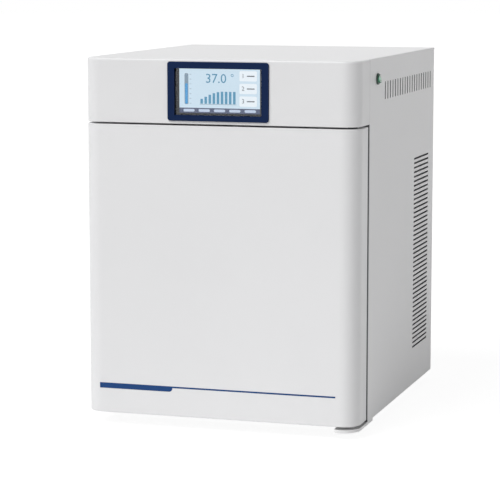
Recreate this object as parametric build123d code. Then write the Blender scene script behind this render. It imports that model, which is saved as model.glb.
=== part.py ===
from build123d import *
import math
import os

# A low-temperature incubator with a hinged door and a touch display, in millimetres.
# x runs to the right, y to the back and z up. The origin is on the floor, under the middle
# of the whole instrument with its door shut.

# Cabinet
cabinet_width = 540.0
cabinet_height = 688.0
cabinet_depth = 555.0
ground_clearance = 20.0
corner_radius = 33.0
outer_sheet = 1.2
bend_radius = 2.5
panel_flange = 15.2
cover_skirt = 3.4
assembly_gap = 0.3
seam = 0.6

# Door and the gaps round it
door_thickness = 73.0
door_height = 557.5
door_bottom_gap = 5.5
door_top_gap = 3.5
seal_gap = 12.0
cap_rim = 3.0
cap_rib_depth = 10.0
cap_rib_wall = 2.0
cap_edge_radius = 1.5
door_panel_wall = 2.0
plateau_height = 8.0
plateau_inset = 12.0
plateau_corner = 12.0
gasket_width = 18.0
gasket_margin = 1.5
gasket_clearance = 0.3

# Grip cup in the free edge of the door
grip_length = 116.0
grip_width = 26.0
grip_depth = 22.0
grip_wall = 2.0
grip_hook = 7.0
grip_flange = 5.0
grip_flange_height = 1.0
grip_back_margin = 13.0
grip_height = 340.0

# Stripe on the door
stripe_left_margin = 29.0
stripe_right_margin = 41.0
stripe_bar_length = 148.0
stripe_bar_height = 10.5
stripe_line_height = 3.0
stripe_bottom = 47.5
stripe_thickness = 0.25
stripe_end_radius = 7.0

# Insulated chamber
side_insulation = 48.0
floor_insulation = 48.0
roof_insulation = 52.0
rear_insulation = 45.0
machine_depth = 189.0
liner_sheet = 0.8
liner_corner = 12.0
strip_cover = 8.0
strip_lip = 2.5
strip_depth = 22.0
strip_overlap = 12.0
frame_lap = 12.0
harness_hole_radius = 14.0

# Air duct at the back of the chamber
duct_depth = 45.0
duct_sheet = 1.0
duct_slot_width = 60.0
duct_slot_height = 6.0
duct_slot_pitch = 13.0
duct_slot_rows = 3
duct_slot_columns = 4

# Shelves
upright_width = 20.0
upright_depth = 8.0
upright_sheet = 1.5
upright_margin = 14.0
upright_front_margin = 75.0
upright_rear_margin = 50.0
upright_slot_width = 10.0
upright_slot_height = 4.0
upright_slot_pitch = 29.0
support_sheet = 1.5
support_leg = 16.0
support_height = 13.0
hook_clearance = 0.5
shelf_slots = (3, 7, 11)
shelf_play = 1.5
shelf_front_margin = 30.0
shelf_rear_margin = 7.0
shelf_frame_radius = 3.0
shelf_wire_radius = 1.5
shelf_stay_radius = 2.4
shelf_corner_radius = 14.0
shelf_wire_pitch = 27.0
weld_depth = 0.6

# Control fascia and display
fascia_wall = 2.0
fascia_top_radius = 4.5
fascia_bottom_radius = 1.2
bezel_width = 198.5
bezel_height = 111.0
bezel_proud = 3.0
bezel_lap = 4.0
bezel_corner_radius = 5.5
bezel_top_margin = 5.0
bezel_edge_radius = 1.4
screen_width = 171.0
screen_height = 87.5
screen_drop = 0.6
screen_recess = 5.0
glass_border = 2.0
glass_thickness = 1.8
module_border = 7.0
module_depth = 9.0
active_width = 157.0
active_height = 84.0

# Power switch on the right side
switch_setback = 58.0
switch_drop = 39.5
switch_flange_radius = 10.75
switch_flange_height = 3.5
switch_barrel_radius = 9.3
switch_barrel_depth = 20.0
switch_bore_radius = 8.8
switch_pocket_depth = 4.0
rocker_radius = 8.1
rocker_height = 7.0
rocker_foot = 1.0
rocker_dish = 1.6
rocker_tilt = 8.0
trunnion_radius = 1.0
trunnion_reach = 1.0
trunnion_height = 1.6

# Door hinge
hinge_inset = 20.0
hinge_pin_radius = 4.0
hinge_pin_reach = 16.0
running_clearance = 0.05
bush_radius = 6.0
bush_depth = 18.0
bush_flange_radius = 9.0
bush_flange_height = 3.0
boss_wall = 4.0
bracket_width = 45.0
bracket_thickness = 6.0
bracket_rear_reach = 40.0
bracket_corner_radius = 11.0
bracket_boss_radius = 9.0
hinge_screw_spacing = 26.0
hinge_screw_radius = 2.5
upper_bracket_width = 37.0
upper_bracket_sheet = 4.0
upper_bracket_height = 50.0
upper_bracket_front_reach = 14.0
upper_bracket_rise = 2.3

# Feet
foot_radius = 19.0
foot_taper = 2.0
foot_side_inset = 50.0
foot_front_inset = 75.0
foot_rear_inset = 60.0
foot_screw_radius = 2.5
foot_screw_head_radius = 5.0
foot_recess_depth = 9.0
foot_recess_radius = 6.0

# Vents
side_slot_length = 131.0
side_slot_height = 3.75
side_slot_pitch = 9.286
side_vent_height = 390.0
side_vent_bottom_margin = 78.5
side_vent_rear_margin = 50.0
top_slot_length = 35.0
top_slot_width = 6.0
top_slot_pitch = 20.9
top_vent_front_margin = 118.0
top_vent_rear_margin = 36.0
top_vent_drop = 64.5
rear_slot_length = 130.0
rear_slot_height = 5.0
rear_slot_pitch = 15.0
rear_slot_rows = 12
rear_slot_spacing = 180.0
rear_vent_height = 340.0
rear_cover_margin = 1.0
rear_screw_inset = 9.0
rear_screw_rows = 4
rear_screw_radius = 2.0
rear_screw_margin = 32.0
rear_screw_grip = 4.0

# Mains inlet in the rear cover
inlet_x = 190.0
inlet_height = 105.0
inlet_flange_width = 50.0
inlet_flange_height = 30.0
inlet_flange_thickness = 2.5
inlet_body_width = 30.0
inlet_body_height = 24.0
inlet_body_depth = 22.0
inlet_socket_width = 25.0
inlet_socket_height = 17.0
inlet_socket_depth = 17.0
inlet_pin_reach = 12.0
inlet_pin_spacing = 7.0

# Circulation fan, its motor and the ring heater round it
fan_height = 350.0
fan_radius = 66.0
fan_hub_radius = 16.0
fan_wheel_depth = 18.0
fan_setback = 10.0
fan_blades = 6
fan_shaft_radius = 4.0
fan_grille_margin = 3.0
fan_grille_pitch = 12.0
fan_grille_bar = 5.0
fan_motor_radius = 34.0
fan_motor_length = 48.0
motor_plate = 96.0
motor_plate_sheet = 2.0
heater_gap = 12.0
heater_radius = 3.3
heater_opening = 24.0

# Refrigeration
evaporator_width = 300.0
evaporator_passes = 6
evaporator_pitch = 30.0
evaporator_tube_radius = 4.0
evaporator_bottom = 40.0
evaporator_plate = 1.5
tube_bend_ratio = 0.47
tube_exit = 20.0
tube_exit_offset = 20.0
condenser_width = 300.0
condenser_passes = 10
condenser_pitch = 30.0
condenser_tube_radius = 3.0
condenser_bottom = 210.0
condenser_rear_margin = 28.0
condenser_plate = 1.5
condenser_plate_width = 24.0
shroud_width = 230.0
shroud_height = 250.0
shroud_sheet = 1.2
shroud_gap = 6.0
cooling_fan_radius = 84.0
cooling_fan_depth = 20.0
cooling_fan_clearance = 5.0
cooling_motor_radius = 28.0
cooling_motor_length = 40.0
motor_arm_width = 10.0
motor_arm_sheet = 3.0
compressor_x = -110.0
compressor_radius = 66.0
compressor_height = 150.0
compressor_dome = 28.0
compressor_plate_size = 150.0
compressor_plate_sheet = 3.0
compressor_box_width = 50.0
compressor_box_height = 60.0
grommet_height = 14.0
grommet_radius = 11.0
grommet_inset = 14.0
drier_radius = 10.0
drier_length = 90.0
discharge_radius = 3.0
suction_radius = 4.0
capillary_radius = 1.5
pipe_bend = 14.0
drain_radius = 6.0
drain_wall = 1.2
tray_pan_width = 180.0
tray_pan_depth = 130.0
tray_pan_height = 28.0
tray_pan_wall = 1.5

# Electronics in the top compartment
board_width = 150.0
board_depth = 120.0
board_sheet = 1.6
board_x = -130.0
board_setback = 120.0
standoff_height = 8.0
standoff_radius = 3.0
standoff_inset = 6.0
supply_width = 160.0
supply_depth = 98.0
supply_height = 42.0
supply_x = 120.0
supply_setback = 130.0
probe_radius = 2.5
probe_length = 50.0
probe_x = 150.0

# Levels and planes that follow from the sizes above
half_width = cabinet_width / 2
inner_half_width = half_width - outer_sheet
front_y = -(door_thickness + seal_gap + cabinet_depth) / 2
door_back_y = front_y + door_thickness
frame_y = door_back_y + seal_gap
frame_back_y = frame_y + outer_sheet
rear_y = frame_y + cabinet_depth
cover_y = rear_y - outer_sheet
base_z = ground_clearance
top_z = base_z + cabinet_height
panel_top_z = top_z - cover_skirt
door_bottom_z = base_z + door_bottom_gap
door_top_z = door_bottom_z + door_height
fascia_bottom_z = door_top_z + door_top_gap
fascia_back_y = frame_y - seam
pan_z = base_z + outer_sheet
pan_top_z = pan_z + outer_sheet
tray_z = fascia_bottom_z - outer_sheet
bulkhead_y = rear_y - machine_depth
bulkhead_back_y = bulkhead_y + liner_sheet
chamber_half = inner_half_width - side_insulation - liner_sheet
chamber_floor_z = pan_top_z + floor_insulation + liner_sheet
chamber_top_z = tray_z - roof_insulation - liner_sheet
chamber_back_y = bulkhead_y - rear_insulation - liner_sheet
liner_front_y = frame_y + strip_depth - strip_overlap
duct_y = chamber_back_y - duct_depth
hinge_x = half_width - hinge_inset
hinge_y = front_y + door_thickness / 2
bracket_bottom_z = base_z - bracket_thickness
switch_y = frame_y + switch_setback
switch_z = top_z - switch_drop
display_z = top_z - bezel_top_margin - bezel_height / 2
screen_z = display_z - screen_drop
glass_y = front_y - bezel_proud + screen_recess
barrel_depth = fascia_wall + bezel_proud
fan_z = base_z + fan_height
fan_back_y = chamber_back_y - fan_setback
condenser_y = cover_y - condenser_rear_margin
condenser_z = base_z + condenser_bottom
condenser_top_z = condenser_z + (condenser_passes - 1) * condenser_pitch
cooling_fan_z = (condenser_z + condenser_top_z) / 2
shroud_y = condenser_y - condenser_tube_radius - shroud_gap - shroud_sheet
compressor_y = (bulkhead_back_y + cover_y) / 2
compressor_top_z = pan_top_z + grommet_height + compressor_plate_sheet + compressor_height
upright_bottom_z = chamber_floor_z + upright_margin
upright_top_z = chamber_top_z - upright_margin
upright_face_x = chamber_half - upright_depth
shelf_half_width = upright_face_x - support_sheet - shelf_play
shelf_front_y = frame_y + shelf_front_margin
shelf_back_y = duct_y - shelf_rear_margin
tray_top_z = tray_z + outer_sheet


def box_between(x, y, z):
    """A box between its lowest and highest x, y and z."""
    centre = [(low + high) / 2 for low, high in (x, y, z)]
    size = [high - low for low, high in (x, y, z)]
    return Pos(*centre) * Box(*size)


def rod(start, direction, radius, length):
    """A round rod from a start point along a direction."""
    base = Plane(origin=start, z_dir=direction)
    return base * Cylinder(radius, length, align=(Align.CENTER, Align.CENTER, Align.MIN))


def front_view(outline, y_front, depth):
    """Extrude an outline drawn from the front, x right and z up, towards the back."""
    return extrude(Plane.XZ.offset(-y_front) * outline, amount=-depth)


def side_view(outline, x_start, depth):
    """Extrude an outline drawn from the right side, y and z, towards +x."""
    return extrude(Plane.YZ.offset(x_start) * outline, amount=depth)


def plan_view(outline, z_bottom, height):
    """Extrude an outline drawn from above upwards."""
    return extrude(Plane.XY.offset(z_bottom) * outline, amount=height)


def both_sides(part):
    """A part and its mirror image across the middle plane."""
    return [part, mirror(part, about=Plane.YZ)]


def joined(pieces):
    """Fuse a list of pieces into one solid."""
    result = pieces[0]
    for piece in pieces[1:]:
        result = result + piece
    return result


def grouped(pieces):
    """Keep a list of pieces as separate solids of one node."""
    solids = []
    for piece in pieces:
        solids.extend(piece.solids())
    return Compound(children=solids)


def slot_field(length, height, pitch, count):
    """Flat outline of a stack of round-ended slots, centred on the origin."""
    middle = (count - 1) / 2
    return Sketch() + [Pos(0, (row - middle) * pitch) * SlotOverall(length, height) for row in range(count)]


def tube_path(points, bend):
    """Straight runs between points, joined by arcs of one bend radius."""
    return FilletPolyline(*points, radius=bend)


def swept_tube(path, radius):
    """A solid round tube along a path."""
    start = Plane(origin=path @ 0, z_dir=path % 0)
    return sweep(start * Circle(radius), path=path)


def pan_screw(point, direction, shank_radius, grip):
    """A pan-head screw: point is under its head, direction runs from the head to the tip."""
    head_radius = shank_radius * 2
    head_height = shank_radius * 1.1
    head_start = Vector(point) - Vector(direction) * head_height
    head = rod(head_start, direction, head_radius, head_height)
    outer_edge = head.edges().filter_by(GeomType.CIRCLE).sort_by_distance(head_start)[0]
    head = fillet(outer_edge, head_height * 0.6)
    return head + rod(point, direction, shank_radius, grip)


def fan_wheel(radius, hub_radius, depth, blade_count):
    """An axial fan wheel about +Z, its twisted blades lofted from hub to tip."""
    hub = Cylinder(hub_radius, depth)
    hub = fillet(hub.edges().group_by(Axis.Z)[0], depth / 6)
    root_chord = 2 * math.pi * hub_radius / blade_count
    tip_chord = root_chord * 2.2
    root = Plane.YZ.offset(hub_radius * 0.8) * (Rot(0, 0, 42) * Rectangle(root_chord, 1.6))
    tip = Plane.YZ.offset(radius * 1.05) * (Rot(0, 0, 22) * Rectangle(tip_chord, 1.2))
    blade = loft([root, tip]) & Cylinder(radius, depth)
    wheel = hub
    for index in range(blade_count):
        wheel = wheel + Rot(0, 0, index * 360 / blade_count) * blade
    return wheel


def facing_back(part, x, y, z):
    """Turn a part made about +Z so that its axis runs towards the back."""
    return Pos(x, y, z) * Rot(-90, 0, 0) * part


def door_outline(inset, back_y):
    """Outline of door and fascia from above: square behind, round at both front corners."""
    width = cabinet_width - 2 * inset
    depth = back_y - front_y - inset
    plate = Pos(0, back_y - depth / 2) * Rectangle(width, depth)
    return fillet(plate.vertices().group_by(Axis.Y)[0], corner_radius - inset)


def chamber_outline(grow):
    """Outline of the chamber from the front, grown outwards."""
    width = 2 * (chamber_half + grow)
    height = chamber_top_z - chamber_floor_z + 2 * grow
    middle_z = (chamber_top_z + chamber_floor_z) / 2
    return Pos(0, middle_z) * RectangleRounded(width, height, liner_corner + grow)


def front_plate(width, height, x, z, corner):
    """Outline of a round-cornered plate from the front."""
    return Pos(x, z) * RectangleRounded(width, height, corner)


# Places shared by parts that meet

def rear_screw_points():
    """Where the rear cover is screwed to the side panels."""
    low = base_z + rear_screw_margin
    high = panel_top_z - rear_screw_margin
    step = (high - low) / (rear_screw_rows - 1)
    x = half_width - rear_screw_inset
    return [(side * x, rear_y, low + row * step) for side in (-1, 1) for row in range(rear_screw_rows)]


def foot_centres():
    """Plan centres of the four feet."""
    x = half_width - foot_side_inset
    return [(side * x, y) for side in (-1, 1) for y in (frame_y + foot_front_inset, rear_y - foot_rear_inset)]


def lower_hinge_screw_points():
    """Where the lower bracket is screwed up into the base pan."""
    x = half_width - panel_flange - bracket_width / 4
    y = frame_y + bracket_rear_reach / 2
    return [(x - hinge_screw_spacing / 4, y - 6), (x - hinge_screw_spacing / 4, y + 10)]


def upper_hinge_screw_points():
    """Where the upper bracket is screwed back into the front frame, x and z."""
    x = half_width - panel_flange - frame_lap - hinge_screw_radius * 3
    z = fascia_bottom_z + fascia_wall + upper_bracket_height
    return [(x, z - 12), (x, z - 12 - hinge_screw_spacing)]


def upright_centres():
    """Depth of the front and the rear shelf uprights."""
    return [frame_y + upright_front_margin, duct_y - upright_rear_margin]


def shelf_level(slot):
    """Height of a support's top face when it hangs in a given slot."""
    return upright_bottom_z + (slot + 0.5) * upright_slot_pitch


# Cabinet

def vent_cuts():
    """Cutting bodies of both vent fields of the right side panel."""
    rows = round(side_vent_height / side_slot_pitch) + 1
    low_y = rear_y - side_vent_rear_margin - side_slot_length / 2
    low_z = base_z + side_vent_bottom_margin + side_vent_height / 2
    lower = Pos(low_y, low_z) * slot_field(side_slot_length, side_slot_height, side_slot_pitch, rows)
    top_start = frame_y + top_vent_front_margin + top_slot_width / 2
    top_end = rear_y - top_vent_rear_margin - top_slot_width / 2
    columns = round((top_end - top_start) / top_slot_pitch) + 1
    field = slot_field(top_slot_length, top_slot_width, (top_end - top_start) / (columns - 1), columns)
    upper = Pos((top_start + top_end) / 2, top_z - top_vent_drop) * Rot(0, 0, 90) * field
    start_x = inner_half_width - outer_sheet
    return side_view(lower, start_x, 3 * outer_sheet) + side_view(upper, start_x, 3 * outer_sheet)


def plain_side_panel():
    """The right side panel, bent inwards along all four edges and vented."""
    depth = cover_y - frame_y
    outer = Pos(half_width - panel_flange / 2, frame_y + depth / 2) * Rectangle(panel_flange, depth)
    outer = fillet(outer.vertices().group_by(Axis.X)[-1], bend_radius)
    channel_width = panel_flange - outer_sheet
    channel_depth = depth - 2 * outer_sheet
    channel_x = inner_half_width - channel_width / 2
    channel = Pos(channel_x, frame_y + depth / 2) * Rectangle(channel_width, channel_depth)
    channel = fillet(channel.vertices().group_by(Axis.X)[-1], bend_radius - outer_sheet)
    panel = plan_view(outer - channel, base_z, panel_top_z - base_z)
    flange_x = (half_width - panel_flange, inner_half_width)
    flange_y = (frame_y + outer_sheet / 2, cover_y - outer_sheet / 2)
    panel = panel + box_between(flange_x, flange_y, (base_z, pan_z))
    panel = panel + box_between(flange_x, flange_y, (panel_top_z - outer_sheet, panel_top_z))
    for x, y, z in rear_screw_points():
        panel = panel - rod((x, y, z), (0, -1, 0), rear_screw_radius + running_clearance, 3 * outer_sheet)
    return panel - vent_cuts()


def side_panel_left():
    """The left side panel mirrors the right one, without the switch hole."""
    return mirror(plain_side_panel(), about=Plane.YZ)


def side_panel_right():
    """The right side panel has the round hole of the power switch."""
    hole_radius = switch_barrel_radius + running_clearance
    return plain_side_panel() - rod((half_width - panel_flange, switch_y, switch_z), (1, 0, 0), hole_radius, panel_flange)


def top_cover():
    """A shallow pan that closes the cabinet, open towards the fascia."""
    cover = box_between((-half_width, half_width), (frame_y, rear_y), (panel_top_z, top_z))
    top_edges = cover.faces().sort_by(Axis.Z)[-1].edges().sort_by(Axis.Y)[1:]
    cover = fillet(top_edges, bend_radius)
    inner_y = (frame_y - outer_sheet, cover_y)
    return cover - box_between((-inner_half_width, inner_half_width), inner_y, (base_z, top_z - outer_sheet))


def base_pan():
    """The floor sheet, turned up at the back."""
    width = (-inner_half_width, inner_half_width)
    pan_back_y = cover_y - outer_sheet
    pan = box_between(width, (frame_back_y, pan_back_y), (pan_z, pan_top_z))
    pan = fillet(pan.edges().filter_by(Axis.Z), bend_radius - outer_sheet)
    turned_x = half_width - panel_flange - assembly_gap
    turned_y = (pan_back_y - outer_sheet, pan_back_y)
    pan = pan + box_between((-turned_x, turned_x), turned_y, (pan_z, pan_z + panel_flange))
    for x, y in foot_centres():
        pan = pan - rod((x, y, pan_z), (0, 0, 1), foot_screw_radius, outer_sheet)
    for x, y in lower_hinge_screw_points():
        pan = pan - rod((x, y, pan_z), (0, 0, 1), hinge_screw_radius, outer_sheet)
    return pan


def front_frame():
    """The sheet behind door and fascia, joggled behind the side panels' front flanges."""
    plate_half = half_width - panel_flange - assembly_gap
    top = top_z - outer_sheet
    frame = box_between((-plate_half, plate_half), (frame_y, frame_back_y), (base_z, top))
    lap_x = (plate_half - frame_lap, plate_half + frame_lap)
    lap_z = (pan_top_z, panel_top_z - 2 * outer_sheet)
    for lap in both_sides(box_between(lap_x, (frame_back_y, frame_back_y + outer_sheet), lap_z)):
        frame = frame + lap
    frame = frame - front_view(chamber_outline(strip_cover), frame_y, 2 * outer_sheet)
    frame = frame - rod((0, frame_y, display_z), (0, 1, 0), harness_hole_radius, outer_sheet)
    for x, z in upper_hinge_screw_points():
        frame = frame - rod((x, frame_y, z), (0, 1, 0), hinge_screw_radius, 2 * outer_sheet)
    return frame


def breaker_strip():
    """The plastic throat of the chamber, with a groove that holds the liner's front edge."""
    outer = front_view(chamber_outline(strip_cover), frame_y, strip_depth)
    throat = front_view(chamber_outline(-strip_lip), frame_y, strip_depth)
    groove = front_view(chamber_outline(liner_sheet), liner_front_y, strip_depth)
    groove = groove - front_view(chamber_outline(0), liner_front_y, strip_depth)
    return outer - throat - groove


def liner_hollow(grow):
    """The chamber's space, grown outwards, from the liner's front edge back."""
    return front_view(chamber_outline(grow), liner_front_y, chamber_back_y + grow - liner_front_y)


def inner_liner():
    """The stainless chamber, open in front."""
    liner = liner_hollow(liner_sheet) - liner_hollow(0)
    return liner - rear_wall_cuts() - drain_hole()


def rear_wall_cuts():
    """Holes for the fan shaft and the two evaporator tubes through the chamber's rear wall."""
    length = machine_depth
    start_y = chamber_back_y - liner_sheet
    cuts = rod((0, start_y, fan_z), (0, 1, 0), fan_shaft_radius * 2, length)
    for x, z in evaporator_exits():
        cuts = cuts + rod((x, start_y, z), (0, 1, 0), evaporator_tube_radius, length)
    return cuts


def drain_hole():
    """Hole for the drain tube through the chamber's floor."""
    return rod((0, drain_top()[1], chamber_floor_z - liner_sheet), (0, 0, 1), drain_radius, 2 * liner_sheet)


def insulation():
    """The foam between the liner and the outer sheets, foamed round what crosses it."""
    width = (-inner_half_width, inner_half_width)
    block = box_between(width, (frame_back_y, bulkhead_y), (pan_top_z, tray_z))
    block = fillet(block.edges().filter_by(Axis.Z).group_by(Axis.Y)[0], bend_radius - outer_sheet)
    block = block - front_view(chamber_outline(strip_cover), frame_y, strip_depth)
    block = block - liner_hollow(liner_sheet)
    lap_x = (half_width - panel_flange - frame_lap - assembly_gap, half_width - panel_flange + frame_lap)
    for lap in both_sides(box_between(lap_x, (frame_y, frame_back_y + outer_sheet), (pan_top_z, tray_z))):
        block = block - lap
    block = block - swept_tube(drain_path(), drain_radius)
    return block - rear_wall_cuts()


def rear_bulkhead():
    """The sheet that closes the foam towards the machine space."""
    width = (-inner_half_width, inner_half_width)
    sheet = box_between(width, (bulkhead_y, bulkhead_back_y), (pan_top_z, tray_z))
    return sheet - rear_wall_cuts() - swept_tube(drain_path(), drain_radius)


def electronics_tray():
    """The sheet on top of the foam that carries the electronics, turned up behind."""
    width = (-inner_half_width, inner_half_width)
    tray = box_between(width, (frame_back_y + outer_sheet, bulkhead_back_y), (tray_z, tray_top_z))
    turned_y = (bulkhead_back_y - outer_sheet, bulkhead_back_y)
    return tray + box_between(width, turned_y, (tray_z, tray_top_z + panel_flange))


def rear_cover():
    """The rear sheet with two vent fields and the inlet's cut-out."""
    cover_half = half_width - rear_cover_margin
    z_range = (base_z + rear_cover_margin, panel_top_z - assembly_gap)
    cover = box_between((-cover_half, cover_half), (cover_y, rear_y), z_range)
    field = slot_field(rear_slot_length, rear_slot_height, rear_slot_pitch, rear_slot_rows)
    for side in (-1, 1):
        placed = Pos(side * rear_slot_spacing / 2, base_z + rear_vent_height) * field
        cover = cover - front_view(placed, cover_y, outer_sheet)
    window = Pos(inlet_x, base_z + inlet_height) * Rectangle(inlet_body_width, inlet_body_height)
    cover = cover - front_view(window, cover_y, outer_sheet)
    for point in rear_screw_points():
        cover = cover - rod(point, (0, -1, 0), rear_screw_radius + running_clearance, outer_sheet)
    return cover


def rear_cover_screws():
    """The pan-head screws of the rear cover."""
    grip = rear_screw_grip
    return grouped([pan_screw(point, (0, -1, 0), rear_screw_radius, grip) for point in rear_screw_points()])


def feet():
    """Four tapered rubber feet with a recess for the screw's head."""
    foot = Cone(foot_radius - foot_taper, foot_radius, pan_z, align=(Align.CENTER, Align.CENTER, Align.MIN))
    foot = fillet(foot.edges().group_by(Axis.Z)[0], foot_taper)
    foot = foot - rod((0, 0, 0), (0, 0, 1), foot_recess_radius, foot_recess_depth)
    foot = foot - rod((0, 0, 0), (0, 0, 1), foot_screw_radius, pan_z)
    return grouped([Pos(x, y, 0) * foot for x, y in foot_centres()])


def foot_screws():
    """The screws that hold the feet to the base pan."""
    grip = pan_top_z - foot_recess_depth
    return grouped([pan_screw((x, y, foot_recess_depth), (0, 0, 1), foot_screw_radius, grip) for x, y in foot_centres()])


# Fascia, display and switch

def fascia_body(inset, back_y):
    """The fascia's outer form, or its hollow when inset."""
    height = top_z - fascia_bottom_z - 2 * inset
    return plan_view(door_outline(inset, back_y), fascia_bottom_z + inset, height)


def control_fascia():
    """The hollow fascia over the door, open behind, with the display window."""
    shell = fascia_body(0, fascia_back_y)
    top_edges = shell.faces().sort_by(Axis.Z)[-1].edges().sort_by(Axis.Y)[:-1]
    shell = fillet(top_edges, fascia_top_radius)
    bottom_edges = shell.faces().sort_by(Axis.Z)[0].edges().sort_by(Axis.Y)[:-1]
    shell = fillet(bottom_edges, fascia_bottom_radius)
    shell = shell - fascia_body(fascia_wall, fascia_back_y + fascia_wall)
    window = front_plate(bezel_width - 2 * bezel_lap, bezel_height - 2 * bezel_lap, 0, display_z, bezel_corner_radius)
    shell = shell - front_view(window, front_y, fascia_wall)
    return shell - rod((hinge_x, hinge_y, fascia_bottom_z), (0, 0, 1), hinge_pin_radius + seam, fascia_wall)


def display_bezel():
    """The display's frame: a proud rim, a barrel through the fascia and a seat for the glass."""
    rim = front_view(front_plate(bezel_width, bezel_height, 0, display_z, bezel_corner_radius), front_y - bezel_proud, bezel_proud)
    rim = fillet(rim.faces().sort_by(Axis.Y)[0].edges(), bezel_edge_radius)
    inset = 2 * (bezel_lap + assembly_gap)
    barrel = front_plate(bezel_width - inset, bezel_height - inset, 0, display_z, bezel_corner_radius)
    frame = rim + front_view(barrel, front_y, barrel_depth)
    window = front_plate(screen_width, screen_height, 0, screen_z, glass_border / 2)
    frame = frame - front_view(window, front_y - bezel_proud, bezel_proud + barrel_depth)
    seat = front_plate(screen_width + 2 * glass_border, screen_height + 2 * glass_border, 0, screen_z, glass_border)
    return frame - front_view(seat, glass_y, bezel_proud + barrel_depth)


def display_glass():
    """The cover glass in the bezel's seat."""
    width = screen_width + 2 * glass_border - assembly_gap
    height = screen_height + 2 * glass_border - assembly_gap
    return front_view(front_plate(width, height, 0, screen_z, glass_border), glass_y, glass_thickness)


def display_module():
    """The screen behind the glass: its active area and the metal case behind the bezel."""
    active_y = glass_y + glass_thickness
    case_y = front_y + barrel_depth
    active = front_view(front_plate(active_width, active_height, 0, screen_z, 1), active_y, case_y - active_y)
    width = screen_width + 2 * module_border
    height = screen_height + 2 * module_border
    return active + front_view(front_plate(width, height, 0, screen_z, 3), case_y, module_depth)


def trunnions(radius, reach):
    """The rocker's two stub shafts along y, or their bores."""
    pivot_x = half_width + trunnion_height
    return rod((pivot_x, switch_y - reach, switch_z), (0, 1, 0), radius, 2 * reach)


def power_switch_body():
    """The round switch housing: a flange outside, a barrel inside and two pivot bores."""
    flange = rod((half_width, switch_y, switch_z), (1, 0, 0), switch_flange_radius, switch_flange_height)
    flange = fillet(flange.edges().sort_by(Axis.X)[-1], switch_flange_height / 3)
    barrel_start = (half_width - switch_barrel_depth, switch_y, switch_z)
    housing = flange + rod(barrel_start, (1, 0, 0), switch_barrel_radius, switch_barrel_depth)
    pocket_start = (half_width - switch_pocket_depth, switch_y, switch_z)
    pocket_length = switch_pocket_depth + switch_flange_height
    housing = housing - rod(pocket_start, (1, 0, 0), switch_bore_radius, pocket_length)
    bore_reach = switch_bore_radius + trunnion_reach + running_clearance
    return housing - trunnions(trunnion_radius + running_clearance, bore_reach)


def power_rocker():
    """The green rocker: a dished round key on two stub shafts, resting on its off side."""
    key = rod((half_width - rocker_foot, switch_y, switch_z), (1, 0, 0), rocker_radius, rocker_height + rocker_foot)
    key = fillet(key.edges().sort_by(Axis.X)[-1], rocker_dish / 2)
    dish_radius = (rocker_radius ** 2 + rocker_dish ** 2) / (2 * rocker_dish)
    dish_x = half_width + rocker_height + dish_radius - rocker_dish
    dish = rod((dish_x, switch_y - rocker_radius, switch_z), (0, 1, 0), dish_radius, 2 * rocker_radius)
    key = key - dish + trunnions(trunnion_radius, switch_bore_radius + trunnion_reach - running_clearance)
    pivot = Axis((half_width + trunnion_height, switch_y, switch_z), (0, 1, 0))
    return key.rotate(pivot, -rocker_tilt)


# Door

def door_slab(inset, bottom_z, height, back_y):
    """A slice of the door's form, inset all round except behind."""
    return plan_view(door_outline(inset, back_y), bottom_z, height)


def grip_space(grow, depth):
    """The straight pocket of the grip cup, grown by a wall, in the door's free edge."""
    y = door_back_y - grip_back_margin - grip_width / 2
    outline = Pos(y, door_bottom_z + grip_height) * RectangleRounded(
        grip_width + 2 * grow, grip_length + 2 * grow, grip_width / 4 + grow)
    return side_view(outline, -half_width, depth)


def grip_undercut(grow):
    """The part of the pocket that fingers hook behind, grown by a wall."""
    y_back = door_back_y - grip_back_margin - grip_width / 2
    y = (y_back - grip_width / 2 - grip_hook - grow, y_back)
    x = (-half_width + grip_depth / 3 - grow, -half_width + grip_depth + grow)
    z = door_bottom_z + grip_height
    reach = grip_length / 2 - grip_width / 4 + grow
    return box_between(x, y, (z - reach, z + reach))


def grip_form(grow):
    """The whole cavity of the grip, grown by a wall."""
    return grip_space(grow, grip_depth + grow) + grip_undercut(grow)


def door_grip():
    """The grip cup let into the door's free edge, with a thin flange round its mouth."""
    y = door_back_y - grip_back_margin - grip_width / 2
    flange = Pos(y, door_bottom_z + grip_height) * RectangleRounded(
        grip_width + 2 * grip_flange, grip_length + 2 * grip_flange, grip_width / 4 + grip_flange)
    rim = side_view(flange, -half_width - grip_flange_height, grip_flange_height)
    rim = fillet(rim.faces().sort_by(Axis.X)[0].edges(), grip_flange_height * 0.6)
    cup = rim + grip_form(grip_wall)
    return cup - grip_form(0) - grip_space(0, grip_depth).translate((-grip_flange_height, 0, 0))


def door_skin():
    """The outer sheet of the door, bent round both front corners."""
    bottom = door_bottom_z + cap_rim
    height = door_height - 2 * cap_rim
    skin = door_slab(0, bottom, height, door_back_y)
    skin = skin - door_slab(outer_sheet, bottom, height, door_back_y + outer_sheet)
    return skin - grip_form(grip_wall)


def door_cap(bottom_z, rib_z, rim_edge_z):
    """An end cap: its rim ends the door's form, its rib stands inside the skin."""
    rim = door_slab(0, bottom_z, cap_rim, door_back_y)
    face = rim.faces().sort_by_distance((0, hinge_y, rim_edge_z))[0]
    rim = fillet(face.edges().sort_by(Axis.Y)[:-1], cap_edge_radius)
    rib_back_y = door_back_y - door_panel_wall
    rib = door_slab(outer_sheet, rib_z, cap_rib_depth, rib_back_y)
    rib_hollow = door_slab(outer_sheet + cap_rib_wall, rib_z, cap_rib_depth, rib_back_y - cap_rib_wall)
    return rim + (rib - rib_hollow)


def bush_boss(start_z, direction):
    """The boss behind an end cap's rim that holds the hinge bush."""
    return rod((hinge_x, hinge_y, start_z), (0, 0, direction), bush_radius + boss_wall, bush_depth)


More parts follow.
